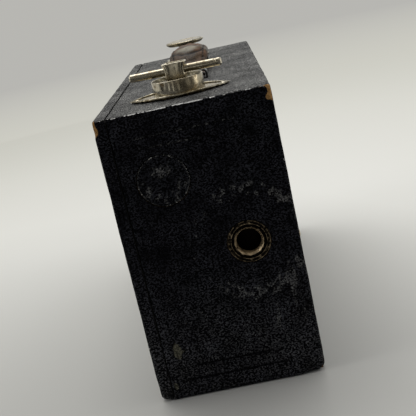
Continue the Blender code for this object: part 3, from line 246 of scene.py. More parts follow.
# Painted shade in the strap's creases and fold, and its darker edges
STRAP_CREASE_SHADE = (0.008, 0.005, 0.004)
ENAMEL = (0.006, 0.006, 0.006)
ENAMEL_WORN = (0.016, 0.015, 0.014)
CHIPPED = (0.20, 0.18, 0.16)
INK = (0.004, 0.004, 0.004)
CASE_DARK = (0.055, 0.028, 0.012)
CASE_PALE = (0.19, 0.105, 0.048)
THREAD_DARK = (0.012, 0.008, 0.006)
THREAD_PALE = (0.07, 0.045, 0.03)

# Stage
FLOOR_HALF = 40.0
FLOOR_LINES = 5
FLOOR_DROP = 0.0001
FLOOR_TONES = ((0.78, 0.775, 0.725), (0.81, 0.805, 0.755))
PALE = (0.475, 0.47, 0.445)
MID_PALE = (0.66, 0.655, 0.585)
AMBIENT = (0.92, 0.92, 0.92)
LAMP_TARGET = (0, 0, 0.08)

# Camera, from the photograph's vanishing lines
LENS_MM = 74.64
SENSOR_MM = 36.0
NEAREST = 0.01
EYE = (-0.38804, -0.01911, 0.15159)
LOOK_RIGHT = (0.0002, -0.9770, -0.2133)
LOOK_UP = (0.2674, -0.2055, 0.9414)


# Arrays and meshes

def waves(points, size, seed, count=24):
    """Smooth random field about 0: a sum of seeded sine waves of about the given length."""
    rng = np.random.default_rng(seed)
    heading = rng.normal(size=(count, 3))
    heading /= np.linalg.norm(heading, axis=1, keepdims=True)
    heading *= tau / size * rng.uniform(0.6, 1.7, (count, 1))
    phase = rng.uniform(0, tau, count)
    return np.sin(points @ heading.T + phase).sum(-1) / np.sqrt(count / 2)


def ease(value, start, end):
    """Smooth step from 0 at start to 1 at end, whichever of them is larger."""
    t = np.clip((value - start) / (end - start), 0, 1)
    return t * t * (3 - 2 * t)


def bell(value, width):
    """Hump of height 1 at 0 that falls off as the square of value over width grows."""
    return np.exp(-(value / width) ** 2)


def angles(steps):
    """Angles of a full turn in even steps."""
    return np.linspace(0, tau, steps, endpoint=False)


def unit(rows):
    """Each row of an array brought to length 1."""
    return rows / np.linalg.norm(rows, axis=-1, keepdims=True)


def quads_of(rows, columns, close_rows=False, close_columns=True):
    """Corner numbers of the quads of a grid; a closed direction joins its last line to its first."""
    i = np.arange(rows if close_rows else rows - 1)
    j = np.arange(columns if close_columns else columns - 1)
    i, j = np.meshgrid(i, j, indexing="ij")
    k, m = (i + 1) % rows, (j + 1) % columns
    around = [i * columns + j, i * columns + m, k * columns + m, k * columns + j]
    return np.stack(around, -1).reshape(-1, 4)


def link(made):
    """Put a new object into the scene."""
    bpy.context.scene.collection.objects.link(made)
    return made


def make_piece(name, points, quads, material, body, node=None, marks=None, closed=True, sharp=SHARP):
    """A named piece from points and quads, merged at its poles, shaded smooth, set on its body and,
    where a frame node is named, shown instead of it."""
    mesh = bpy.data.meshes.new(name)
    mesh.from_pydata(points.reshape(-1, 3).tolist(), [], quads.tolist())
    for key, value in (marks or {}).items():
        layer = mesh.attributes.new(key, 'FLOAT', 'POINT')
        layer.data.foreach_set("value", np.ravel(value).astype(np.float32))
    shape = bmesh.new()
    shape.from_mesh(mesh)
    bmesh.ops.remove_doubles(shape, verts=shape.verts, dist=MERGE)
    loose = [v for v in shape.verts if not v.link_faces]
    bmesh.ops.delete(shape, geom=loose, context='VERTS')
    if closed:
        bmesh.ops.recalc_face_normals(shape, faces=shape.faces)
    shape.to_mesh(mesh)
    shape.free()
    mesh.shade_smooth()
    mesh.set_sharp_from_angle(angle=radians(sharp))
    mesh.materials.append(material)
    made = link(bpy.data.objects.new(name, mesh))
    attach(made, body)
    if node:
        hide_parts(node)
    return made


def soften(points, radius, steps=5, closed=False):
    """Outline with each corner swapped for a quadratic curve that starts and ends a radius away."""
    points = np.asarray(points, float)
    count = len(points)
    t = np.linspace(0, 1, steps)[:, None]
    out = []
    for i, here in enumerate(points):
        if not closed and i in (0, count - 1):
            out.append(here[None])
            continue
        ends = []
        for way in (points[i - 1] - here, points[(i + 1) % count] - here):
            length = np.linalg.norm(way)
            ends.append(here + way / length * min(radius, length * 0.45))
        out.append((1 - t) ** 2 * ends[0] + 2 * t * (1 - t) * here + t ** 2 * ends[1])
    return np.concatenate(out)


# For each facing: two directions across a turned piece, and the one that its heights run along
FACING = {
    "up": np.array(((1, 0, 0), (0, 1, 0), (0, 0, 1)), float),
    "down": np.array(((1, 0, 0), (0, -1, 0), (0, 0, -1)), float),
    "near": np.array(((0, 0, 1), (0, 1, 0), (-1, 0, 0)), float),
    "far": np.array(((0, 1, 0), (0, 0, 1), (1, 0, 0)), float),
    "front": np.array(((1, 0, 0), (0, 0, 1), (0, -1, 0)), float),
    "rear": np.array(((0, 0, 1), (1, 0, 0), (0, 1, 0)), float),
}


def turn_points(radius, height, place, facing):
    """Points at radius(row, angle) and height(row, angle) round an axis through place. The facing is
    a name or three directions."""
    u, v, w = FACING[facing] if isinstance(facing, str) else facing
    angle = angles(radius.shape[1])
    ring = np.cos(angle)[:, None] * u + np.sin(angle)[:, None] * v
    return np.asarray(place) + radius[..., None] * ring + height[..., None] * w


def carried_round(profile, steps):
    """Radius and height of every point of a profile of (radius, height) carried round in steps."""
    profile = np.asarray(profile, float)
    return np.repeat(profile[:, :1], steps, 1), np.repeat(profile[:, 1:], steps, 1)


def turned(name, outline, soft, place, facing, material, body, node=None, steps=96, ring=False,
           dirt_and_shade=None):
    """Outline of (radius, height) with its corners softened, carried round an axis; a ring's outline
    closes on itself. A function, where given, makes the piece's mark of soiling and painted shade from
    the radius and the height."""
    profile = soften(outline, soft, closed=ring) if soft else outline
    radius, height = carried_round(profile, steps)
    points = turn_points(radius, height, place, facing)
    marks = {"dirt_and_shade": dirt_and_shade(radius, height)} if dirt_and_shade else None
    return make_piece(name, points, quads_of(len(profile), steps, ring), material, body, node, marks)


def capped(rings):
    """Rings of points with the middle of the first and of the last ring added as poles."""
    first = np.repeat(rings[:1].mean(1, keepdims=True), rings.shape[1], 1)
    last = np.repeat(rings[-1:].mean(1, keepdims=True), rings.shape[1], 1)
    return np.concatenate([first, rings, last])


def lofted(name, rings, material, body, node=None, marks=None, sharp=SHARP):
    """Closed rings of points joined in their order and capped at both ends."""
    points = capped(rings)
    marks = {key: capped(value[..., None])[..., 0] for key, value in (marks or {}).items()}
    quads = quads_of(*points.shape[:2])
    return make_piece(name, points, quads, material, body, node, marks, sharp=sharp)


def squircle(count, power):
    """Unit outline |a|^power + |b|^power = 1, from a circle's cosine and sine."""
    a, b = np.cos(angles(count)), np.sin(angles(count))
    return np.sign(a) * np.abs(a) ** (2 / power), np.sign(b) * np.abs(b) ** (2 / power)


# Shader groups and materials

class Painter:
    """Adds nodes to one shader tree and sends what they make to the sockets it was given. A value is
    a number, a socket or, for a colour, three numbers."""

    def __init__(self, tree, sockets=None):
        self.tree, self.sockets = tree, sockets

    def put(self, kind, inputs=None, **settings):
        """A node with its settings; an input is a value, or a socket to link from."""
        node = self.tree.nodes.new(kind)
        for key, value in settings.items():
            setattr(node, key, value)
        for key, value in (inputs or {}).items():
            if isinstance(value, bpy.types.NodeSocket):
                self.tree.links.new(value, node.inputs[key])
            else:
                node.inputs[key].default_value = value
        return node

    def send(self, **values):
        """Link values to the sockets; underscores in a socket's name stand for spaces."""
        for key, value in values.items():
            self.tree.links.new(value, self.sockets[key.replace("_", " ")])

    def place(self):
        """Object coordinates."""
        return self.put("ShaderNodeTexCoord").outputs["Object"]

    def vector(self, operation, first, second=(0, 0, 0)):
        """A vector moved, multiplied or normalised."""
        return self.put("ShaderNodeVectorMath", {0: first, 1: second}, operation=operation).outputs[0]

    def axes(self, vector):
        """The three numbers of a vector."""
        return self.put("ShaderNodeSeparateXYZ", {0: vector}).outputs

    def colour(self, share, first, second):
        """The first colour where the share is 0 and the second where it is 1."""
        first, second = ((*c, 1.0) if isinstance(c, tuple) else c for c in (first, second))
        return self.put("ShaderNodeMix", {0: share, 6: first, 7: second}, data_type='RGBA').outputs[2]

    def value(self, share, first, second):
        """The first value where the share is 0 and the second where it is 1."""
        return self.put("ShaderNodeMix", {0: share, 2: first, 3: second}, data_type='FLOAT').outputs[0]

    def reckon(self, operation, first, second):
        """Two values added, subtracted or compared, held between 0 and 1."""
        both = {0: first, 1: second}
        return self.put("ShaderNodeMath", both, operation=operation, use_clamp=True).outputs[0]

    def times(self, first, *others):
        """Product of values, held between 0 and 1 at every step."""
        for other in others:
            first = self.reckon('MULTIPLY', first, other)
        return first

    def spread(self, value, low, high, start=0.0, end=1.0):
        """Value brought from the range low to high to the range start to end, and held there."""
        ends = {"Value": value, "From Min": low, "From Max": high, "To Min": start, "To Max": end}
        return self.put("ShaderNodeMapRange", ends).outputs[0]

    def noise(self, scale, detail=3.0, vector=None):
        """Smooth noise, over Object coordinates where no others are given."""
        vector = self.place() if vector is None else vector
        given = {"Scale": scale, "Detail": detail, "Vector": vector}
        return self.put("ShaderNodeTexNoise", given).outputs[0]

    def mark(self, name):
        """Value of one of the piece's own attributes."""
        return self.put("ShaderNodeAttribute", attribute_name=name).outputs["Fac"]

    def use(self, group, **inputs):
        """A group placed in this tree; underscores in an input's name stand for spaces."""
        given = {key.replace("_", " "): value for key, value in inputs.items()}
        return self.put("ShaderNodeGroup", given, node_tree=group).outputs

    def patches(self, scale, low, high):
        """Mask of soft-edged patches."""
        return self.use(PATCHES, Scale=scale, Low=low, High=high)["Mask"]

    def streaks(self, x, y, z):
        """Fine lines, by the scale along each axis."""
        return self.use(STREAKS, Along_X=x, Along_Y=y, Along_Z=z)["Lines"]

    def ragged(self, name, scale, low, high):
        """One of the piece's own marks with its edge broken up."""
        return self.use(RAGGED, Mark=self.mark(name), Scale=scale, Low=low, High=high)["Mask"]

    def bump(self, height, strength, distance):
        """Relief of the surface, sent to its normal."""
        relief = {"Height": height, "Strength": strength, "Distance": distance}
        self.send(Normal=self.put("ShaderNodeBump", relief).outputs[0])


def new_group(name, inputs, outputs):
    """Painter of an empty shader group with named number inputs and outputs, and its given values."""
    tree = bpy.data.node_groups.new(name, "ShaderNodeTree")
    for key, value in inputs.items():
        socket = tree.interface.new_socket(key, in_out='INPUT', socket_type="NodeSocketFloat")
        socket.default_value = value
    for key in outputs:
        tree.interface.new_socket(key, in_out='OUTPUT', socket_type="NodeSocketFloat")
    paint = Painter(tree)
    paint.sockets = paint.put("NodeGroupOutput").inputs
    return paint, paint.put("NodeGroupInput").outputs


def pebble_group():
    """Leather grain: cells of uneven size and wandering outline, with finer pores over them."""
    paint, given = new_group("pebble_grain", {"Scale": 1500.0}, ("Height", "Crowns"))
    place = paint.place()
    drift = paint.put("ShaderNodeTexNoise", {"Vector": place, "Scale": 1300.0, "Detail": 2.0})
    drift = paint.put("ShaderNodeVectorMath", {0: drift.outputs["Color"], 3: 0.0007}, operation='SCALE')
    place = paint.vector('ADD', place, drift.outputs[0])
    cells = {"Vector": place, "Scale": given["Scale"], "Randomness": 1.0}
    cells = paint.put("ShaderNodeTexVoronoi", cells, feature='SMOOTH_F1').outputs["Distance"]
    crowns = paint.spread(cells, 0.56, 0.10)
    fine = paint.noise(4200.0, 2.0, place)
    paint.send(Crowns=crowns, Height=paint.value(0.30, crowns, fine))
    return paint.tree


def patch_group():
    """Soft-edged patches of noise, for dust, tarnish and rubbing."""
    paint, given = new_group("patches", {"Scale": 100.0, "Low": 0.45, "High": 0.65}, ("Mask",))
    paint.send(Mask=paint.spread(paint.noise(given["Scale"], 5.0), given["Low"], given["High"]))
    return paint.tree


def streak_group():
    """Fine lines along one axis: noise squeezed across that axis by the three scales."""
    names = ("Along X", "Along Y", "Along Z")
    paint, given = new_group("streaks", dict.fromkeys(names, 100.0), ("Lines",))
    sizes = paint.put("ShaderNodeCombineXYZ", {i: given[name] for i, name in enumerate(names)})
    squeezed = paint.vector('MULTIPLY', paint.place(), sizes.outputs[0])
    paint.send(Lines=paint.noise(1.0, 4.0, squeezed))
    return paint.tree


def ragged_group():
    """A mark with a broken edge: noise is added to it, and the sum is cut between two levels."""
    names = {"Mark": 0.0, "Scale": 500.0, "Low": 0.35, "High": 0.65}
    paint, given = new_group("ragged_mark", names, ("Mask",))
    field = paint.spread(paint.noise(given["Scale"], 4.0), 0.25, 0.75, -0.35, 0.35)
    broken = paint.put("ShaderNodeMath", {0: given["Mark"], 1: field}, operation='ADD')
    paint.send(Mask=paint.spread(broken.outputs[0], given["Low"], given["High"]))
    return paint.tree


PEBBLES = pebble_group()
PATCHES = patch_group()
STREAKS = streak_group()
RAGGED = ragged_group()


def start_material(name, **sockets):
    """A new material, and the painter of its Principled shader, whose plain values are set here."""
    material = bpy.data.materials.new(name)
    material.use_nodes = True
    shader = material.node_tree.nodes["Principled BSDF"]
    for key, value in sockets.items():
        shader.inputs[key.replace("_", " ")].default_value = value
    return material, Painter(material.node_tree, shader.inputs)


def leather_material():
    """Black pebbled leather: painted glints in its colour, in patches, under a coat that gives them
    gloss. Dust and a painted sheen make what faces up pale, and it is paler towards the foot of upright
    sides. It is rubbed pale at edges and in scuffs, with painted highlights along some lines and an
    edge, peeled in chips and gone to the wood at corners."""
    material, paint = start_material("black_leather", Specular_IOR_Level=0.02, Coat_Roughness=0.36)
    grain = paint.use(PEBBLES, Scale=1900.0)
    crowns = grain["Crowns"]
    flattened = paint.vector('MULTIPLY', paint.place(), (1350, 1350, 1900))
    pored = paint.spread(paint.noise(1.0, 0.0, flattened), 0.47, 0.55)
    handled_sheen = paint.spread(paint.patches(130.0, 0.30, 0.70), 0.0, 1.0, 0.12, 1.0)
    glint_share = paint.spread(paint.mark("glint_cut"), 0.0, 1.0, 1.0, 0.0)
    # Painted glints: pale specks in the colour on the grain's crowns, in patches, cut where the mark
    # says; the same share gives the coat its gloss
    painted_glint_and_gloss = paint.times(pored, paint.spread(crowns, 0.0, 1.0, 0.45, 1.0), handled_sheen, glint_share)
    tone = paint.colour(crowns, PORE_BLACK, CROWN_BLACK)
    tone = paint.colour(painted_glint_and_gloss, tone, PAINTED_GLINT)
    # Pale tone of dust and of a painted sheen on what faces up, paler towards the foot of upright
    # sides, thinner in the pits
    dust_sheen_share = paint.times(paint.patches(55.0, 0.05, 0.65), paint.mark("dust_and_sheen"))
    dust_sheen_share = paint.reckon('SUBTRACT', dust_sheen_share, paint.spread(pored, 0.0, 1.0, 0.2, 0.0))
    scratches = paint.spread(paint.streaks(70.0, 650.0, 650.0), 0.35, 0.62, 0.70, 1.0)
    dust_sheen_share = paint.times(dust_sheen_share, scratches, paint.spread(crowns, 0.1, 0.9, 0.15, 1.0))
    tone = paint.colour(dust_sheen_share, tone, DUST_AND_SHEEN)
    # Pale rubbing: scuffs, and painted highlights where the mark puts them
    dots = paint.spread(paint.noise(750.0), 0.42, 0.56, 0.45, 1.9)
    rub_and_highlight = paint.times(paint.ragged("rub_and_highlight", 600.0, 0.25, 0.75), dots, crowns)
    tone = paint.colour(rub_and_highlight, tone, RUB_AND_HIGHLIGHT)
    under = paint.colour(pored, UNDER_DARK, UNDER_PALE)
    tone = paint.colour(paint.ragged("peeled", 700.0, 0.35, 0.75), tone, under)
    worn = paint.ragged("worn", 1100.0, 0.42, 0.58)
    tone = paint.colour(worn, tone, WORN_PALE)
    bare = paint.ragged("bare", 500.0, 0.36, 0.50)
    wood = paint.colour(paint.streaks(160.0, 900.0, 900.0), BARE_DARK, BARE_PALE)
    gone = paint.reckon('MAXIMUM', worn, bare)
    paint.send(Base_Color=paint.colour(bare, tone, wood),
               Roughness=paint.value(gone, paint.value(crowns, 0.60, 0.36), 0.75),
               Coat_Weight=paint.value(gone, paint.times(painted_glint_and_gloss, 0.3), 0.0))
    paint.bump(grain["Height"], 0.9, 0.00045)
    return material


def strap_material():
    """Oiled brown leather: painted shade in its creases and fold, darker at its edges, and a painted
    sheen on its crest where handling has worn it, which a coat makes glossy there too.
    """
    material, paint = start_material("brown_leather", Specular_IOR_Level=0.12, Coat_Roughness=0.34)
    grain = paint.use(PEBBLES, Scale=2300.0)
    patches = paint.patches(140.0, 0.40, 0.70)
    handled_sheen = paint.times(paint.mark("rub_and_highlight"), paint.spread(paint.noise(500.0), 0.3, 0.7, 0.55, 0.95))
    tone = paint.colour(grain["Crowns"], STRAP_DARK, STRAP_BROWN)
    tone = paint.colour(patches, tone, STRAP_RED)
    tone = paint.colour(handled_sheen, tone, STRAP_SHEEN)
    paint.send(Base_Color=paint.colour(paint.mark("crease_shade"), tone, STRAP_CREASE_SHADE),
               Roughness=paint.value(patches, 0.45, 0.60), Coat_Weight=paint.times(handled_sheen, 0.6))
    paint.bump(grain["Height"], 0.4, 0.00015)
    return material


def metal_material(name, bright, dull, stain, rough, scale, streaks, grime_and_shade=GRIME_AND_SHADE):
    """Plated metal: clean and dulled tones in patches, brown stain in spots, lines from polishing, and
    soiling, painted shade and painted dark reflections where the piece's own mark puts them."""
    material, paint = start_material(name, Metallic=1.0)
    dulled = paint.patches(scale, 0.38, 0.66)
    spots = paint.patches(scale * 4.0, 0.58, 0.72)
    dirt_and_shade = paint.ragged("dirt_and_shade", 900.0, 0.0, 0.6)
    tone = paint.colour(spots, paint.colour(dulled, bright, dull), stain)
    lines = paint.spread(paint.streaks(*streaks), 0.35, 0.65, 0.0, 0.10)
    polish = paint.reckon('ADD', paint.value(dulled, rough, rough + 0.12), lines)
    worst = paint.times(paint.reckon('MAXIMUM', spots, dirt_and_shade), 0.2)
    paint.send(Base_Color=paint.colour(dirt_and_shade, tone, grime_and_shade), Roughness=paint.reckon('ADD', polish, worst))
    paint.bump(paint.noise(scale * 3.0), 0.05, 0.0004)
    return material


def lacquer_material():
    """Black stove enamel on steel, chipped to grey metal in spots."""
    material, paint = start_material("black_metal", Specular_IOR_Level=0.4)
    chips = paint.patches(900.0, 0.66, 0.70)
    tone = paint.colour(paint.patches(200.0, 0.45, 0.65), ENAMEL, ENAMEL_WORN)
    paint.send(Base_Color=paint.colour(chips, tone, CHIPPED), Metallic=chips,
               Roughness=paint.value(chips, 0.36, 0.5))
    paint.bump(paint.noise(2500.0), 0.08, 0.0001)
    return material


def wood_material(name, dark, pale, along=0, rim=1.0):
    """Sawn hardwood: long streaks of grain along one axis, with pores, inked black past the rim's Y."""
    material, paint = start_material(name, Specular_IOR_Level=0.3)
    sizes, fine = [420.0] * 3, [2600.0] * 3
    sizes[along], fine[along] = 18.0, 120.0
    grain, pores = paint.streaks(*sizes), paint.streaks(*fine)
    tone = paint.colour(paint.spread(grain, 0.3, 0.7), dark, pale)
    tone = paint.colour(paint.spread(pores, 0.62, 0.72), tone, dark)
    inked = paint.spread(paint.axes(paint.place())[1], rim - 0.4 * MM, rim + 0.4 * MM)
    paint.send(Base_Color=paint.colour(inked, tone, INK),
               Roughness=paint.spread(grain, 0.3, 0.7, 0.72, 0.55))
    paint.bump(pores, 0.2, 0.0002)
    return material


def glass_material(name, colour, roughness):
    """Clear glass with a faint film of dust in its roughness."""
    material, paint = start_material(name, Transmission_Weight=1.0, IOR=1.5, Base_Color=(*colour, 1.0))
    film = paint.patches(120.0, 0.45, 0.8)
    paint.send(Roughness=paint.value(film, roughness, roughness + 0.08))
    return material


def thread_material():
    """Waxed linen thread, dirty where it lies deep."""
    material, paint = start_material("thread", Specular_IOR_Level=0.3)
    paint.send(Base_Color=paint.colour(paint.noise(1800.0), THREAD_DARK, THREAD_PALE),
               Roughness=paint.spread(paint.noise(900.0), 0.3, 0.7, 0.6, 0.8))
    return material


BLACK_LEATHER = leather_material()
BROWN_LEATHER = strap_material()
NICKEL = metal_material("nickel", (0.60, 0.55, 0.44), (0.44, 0.365, 0.235), (0.20, 0.14, 0.07), 0.07,
                        90.0, (900.0, 900.0, 60.0), TARNISH_AND_SHADE)
BRASS = metal_material("dark_brass", (0.66, 0.52, 0.34), (0.36, 0.27, 0.165), (0.03, 0.02, 0.012), 0.30,
                       160.0, (60.0, 900.0, 900.0))
STEEL = metal_material("steel", (0.22, 0.215, 0.205), (0.18, 0.172, 0.16), (0.11, 0.075, 0.05), 0.36,
                       120.0, (300.0, 300.0, 300.0))
MIRROR = metal_material("mirror", (0.86, 0.87, 0.86), (0.74, 0.75, 0.74), (0.4, 0.36, 0.3), 0.03, 60.0,
                        (100.0, 100.0, 100.0))
LACQUER = lacquer_material()
SPOOL_WOOD = wood_material("spool_wood", (0.24, 0.14, 0.065), (0.46, 0.31, 0.165), 2)
CASE_WOOD = wood_material("case_wood", CASE_DARK, CASE_PALE, 0, CASE_HIGH[1] - RIM_INK)
END_WOOD = wood_material("end_wood", CASE_DARK, CASE_PALE, 2, CASE_HIGH[1] - RIM_INK)
BLACK_WOOD = wood_material("blackened_wood", (0.006, 0.005, 0.005), (0.022, 0.019, 0.017))
GLASS = glass_material("glass", (0.93, 0.97, 0.95), 0.02)
FROSTED = glass_material("frosted_glass", (0.85, 0.88, 0.86), 0.35)
RED_FILM = glass_material("red_film", (0.55, 0.012, 0.008), 0.08)
THREAD = thread_material()


# Leather skins

def grid_lines(low, high, step, extra=()):
    """Grid lines about a step apart, closer over the rounded edges and at extra places."""
    even = np.linspace(low, high, int(round((high - low) / step)) + 1)
    lines = np.concatenate([even, low + EDGE_LINES, high - EDGE_LINES, np.asarray(extra, float)])
    lines = np.unique(lines)
    kept = np.concatenate([[True], np.diff(lines) > LINE_GAP])
    kept[-1] = True
    return lines[kept]


def disc_hole(centre, radius):
    """Distance to a round hole's rim, less than 0 inside it."""
    return lambda p: np.linalg.norm(p - np.asarray(centre), axis=-1) - radius


def slot_hole(start, end, radius):
    """Distance to the rim of a slot with round ends: distance to its middle line, less the radius."""
    start, end = np.asarray(start), np.asarray(end)
    run = end - start

    def distance(p):
        share = np.clip(((p - start) @ run) / (run @ run), 0, 1)
        return np.linalg.norm(p - start - share[:, None] * run, axis=-1) - radius
    return distance


def arc_slot(centre, reach, half_angle, radius, count=6):
    """Holes along an arc, as a chain of straight slots."""
    angle = np.linspace(-half_angle, half_angle, count + 1)
    points = np.asarray(centre) + reach * np.stack([np.cos(angle), np.sin(angle)], -1)
    return [slot_hole(a, b, radius) for a, b in zip(points, points[1:])]


def cut_out(flat, quads, holes):
    """Drop the quads whose middle lies in a hole, and move the points on the cut onto the hole's rim
    along the slope of its distance."""
    def distance(p):
        return np.min([hole(p) for hole in holes], axis=0)

    kept = distance(flat[quads].mean(1)) > 0
    inside, outside = np.zeros(len(flat), bool), np.zeros(len(flat), bool)
    inside[quads[~kept].ravel()] = True
    outside[quads[kept].ravel()] = True
    rim = inside & outside
    p, h = flat[rim], 0.01 * MM
    away = distance(p)
    slope = np.stack([(distance(p + d) - distance(p - d)) / (2 * h) for d in ((h, 0), (0, h))], -1)
    flat = flat.copy()
    flat[rim] = p - away[:, None] * slope
    return flat, quads[kept]


def rounded(q, low, high, radius):
    """Points of a box's faces moved to the box with rounded edges, and the way out there: what lies
    outside the box shrunk by the radius is brought to one radius from it."""
    radius = radius[:, None]
    inner = np.clip(q, low + radius, high - radius)
    out = q - inner
    out /= np.maximum(np.linalg.norm(out, axis=1, keepdims=True), 1e-9)
    return inner + radius * out, out


def case_radius(q):
    """Edge rounding of the case: tight at the seam, wide where the front meets the base."""
    seam = ease(q[:, 1], CASE_HIGH[1] - 2 * EDGE, CASE_HIGH[1] - EDGE)
    low_front = np.linalg.norm(q[:, 1:] - CASE_LOW[1:], axis=1)
    worn = ease(low_front, 2 * WORN_REACH, WORN_REACH)
    return EDGE + (SEAM_EDGE - EDGE) * seam + (WORN_EDGE - EDGE) * worn


def cover_radius(q):
    """Edge rounding of the cover: tight at the seam, wider along its lower rear edge."""
    seam = ease(q[:, 1], COVER_LOW[1] + 2 * EDGE, COVER_LOW[1] + EDGE)
    low_rear = np.hypot(q[:, 1] - COVER_HIGH[1], q[:, 2] - COVER_LOW[2])
    worn = ease(low_rear, 2 * WORN_REACH, WORN_REACH)
    return EDGE + (SEAM_EDGE - EDGE) * seam + (WORN_COVER_EDGE - EDGE) * worn * (1 - seam)


def bare_corners(skin, low, high, rear):
    """How far the leather has gone at the corners: full within a ragged ellipsoid round each, whose
    size is a share of the full one."""
    field = waves(skin, 5 * MM, seed=11)
    bare = np.zeros(len(skin))
    side_y, size = (high[1], BARE_REAR) if rear else (low[1], BARE_FRONT)
    shares = ((low[0], high[2], 1.0), (high[0], high[2], 0.8), (low[0], low[2], 0.45),
              (high[0], low[2], 0.6))
    for x, z, share in shares:
        away = np.linalg.norm((skin - (x, side_y, z)) / (size * share), axis=1)
        bare = np.maximum(bare, ease(away - 0.2 * field, 1.15, 0.85))
    return bare


def worn_edges(skin, out):
    """Pale rubbed line on the rounded edges: strong along the near top edge, thin on the others."""
    field = waves(skin, 9 * MM, seed=5) * 0.5 + waves(skin, 2.0 * MM, seed=6) * 0.6
    slant = np.sort(np.abs(out), axis=1)
    on_edge = ease(slant[:, 1], 0.42, 0.66)
    near_top = ease((out[:, 2] - out[:, 0]) / np.sqrt(2), 0.95, 0.995)
    left_part = ease(skin[:, 1], -20 * MM, -4 * MM)
    strong = near_top * (0.16 + 0.44 * left_part + 0.42 * field)
    weak = on_edge * ease(field, 0.9, 1.9) * 0.5
    return np.clip(np.maximum(strong, weak), 0, 1)


def end_lines(skin):
    """Share of the tooled lines' depth across the near end: a smooth groove round each line's height,
    faded at its ends."""
    y, z = skin[:, 1] / MM, skin[:, 2] / MM
    dent = np.zeros(len(skin))
    half = TOOL_FADE / MM / 2
    for height, left, right in END_LINES:
        along = ease(y, left + half, left - half) * ease(y, right - half, right + half)
        dent = np.maximum(dent, along * bell(z - height, TOOL_WIDTH / MM))
    return dent


def end_rub_and_highlight(skin):
    """Ring of scuffs round the bush, broken into blots, fainter where it runs level with the bush, and
    a few upright strokes low in front; along the upper tooled lines and the front edge the pale mark is
    painted highlight."""
    y, z = skin[:, 1] - BUSH[1], skin[:, 2] - BUSH[2]
    ring = bell(np.hypot(y, z) - RUB_R, RUB_WIDTH)
    blots = ease(waves(skin, 4.0 * MM, seed=21), -0.5, 0.7)
    lit = ease(np.abs(z), 5 * MM, 14 * MM) * ease(y - 4 * MM * (z < 0), 14 * MM, 4 * MM) + 0.25
    y, z = skin[:, 1], skin[:, 2]
    # Painted highlights on the upper tooled lines, as if lit from above, and along the front edge
    upper = ease(z, 0.6 * TOP, 0.8 * TOP) * end_lines(skin)
    front_edge_highlight = ease(y, FRONT + 0.9 * MM, FRONT + 0.2 * MM)
    strokes = ease(waves(skin * (1, 1, 0.12), 2.4 * MM, seed=22), 0.9, 1.7)
    low_front = ease(y, -8 * MM, -18 * MM) * ease(z, 52 * MM, 42 * MM) * ease(z, 8 * MM, 24 * MM)
    scuffs = ring * blots * lit + 0.5 * strokes * low_front
    return np.clip(scuffs + 0.46 * upper + 0.25 * front_edge_highlight, 0, 1)


def end_chips(skin):
    """Chips low beside the seam: full within an upright ellipse about each."""
    chips = np.zeros(len(skin))
    for y, z, r in CHIPS:
        away = np.hypot((skin[:, 1] / MM - y) / r, (skin[:, 2] / MM - z) / (CHIP_TALL * r))
        chips = np.maximum(chips, ease(away + 0.15 * waves(skin, 2 * MM, seed=23), 1.3, 0.8))
    return chips


def top_lines(skin):
    """Share of the tooled depth on the top: a groove along a rectangle's outline round the strap."""
    across = np.abs(skin[:, :2] - STRAP[:2]) - (TOP_FRAME_X, TOP_FRAME_Y)
    return bell(np.abs(np.maximum(across[:, 0], across[:, 1])), TOOL_WIDTH)


def top_rub(skin):
    """Handling marks: beside the key's plate and in soft blots."""
    by_plate = np.hypot((skin[:, 0] - KEY[0] + 15 * MM) / (2 * MM), (skin[:, 1] + 6 * MM) / (6 * MM))
    blots = ease(waves(skin, 20 * MM, seed=31), 0.9, 2.0)
    return np.clip(0.9 * ease(by_plate, 1.3, 0.5) + 0.5 * blots, 0, 1)


def side_rub(skin):
    """Faint soft blots."""
    return 0.16 * ease(waves(skin, 26 * MM, seed=41), 1.2, 2.4)


def even(amount):
    """A mark that is the same all over."""
    return lambda skin: np.full(len(skin), amount)


def paler_foot(skin):
    """Paler towards the foot of an upright side."""
    return 0.29 * ease(skin[:, 2], 55 * MM, 5 * MM)


def end_paler_foot(skin):
    """Paler low on the near end, but not in its tooled lines, which stay dark as painted shade."""
    return 0.7 * paler_foot(skin) * (1 - end_lines(skin))


def end_glint_cut(skin):
    """Fewer painted glints and less coat gloss towards the top of an end, more towards its foot."""
    return TOP_GLINT_CUT * ease(skin[:, 2], 12 * MM, 62 * MM)


def tooled_glint_cut(skin):
    """Cut of the painted glints and the coat's gloss on the near end, full in its tooled lines, which
    so stay dark as painted shade.
    """
    return np.maximum(end_glint_cut(skin), end_lines(skin))


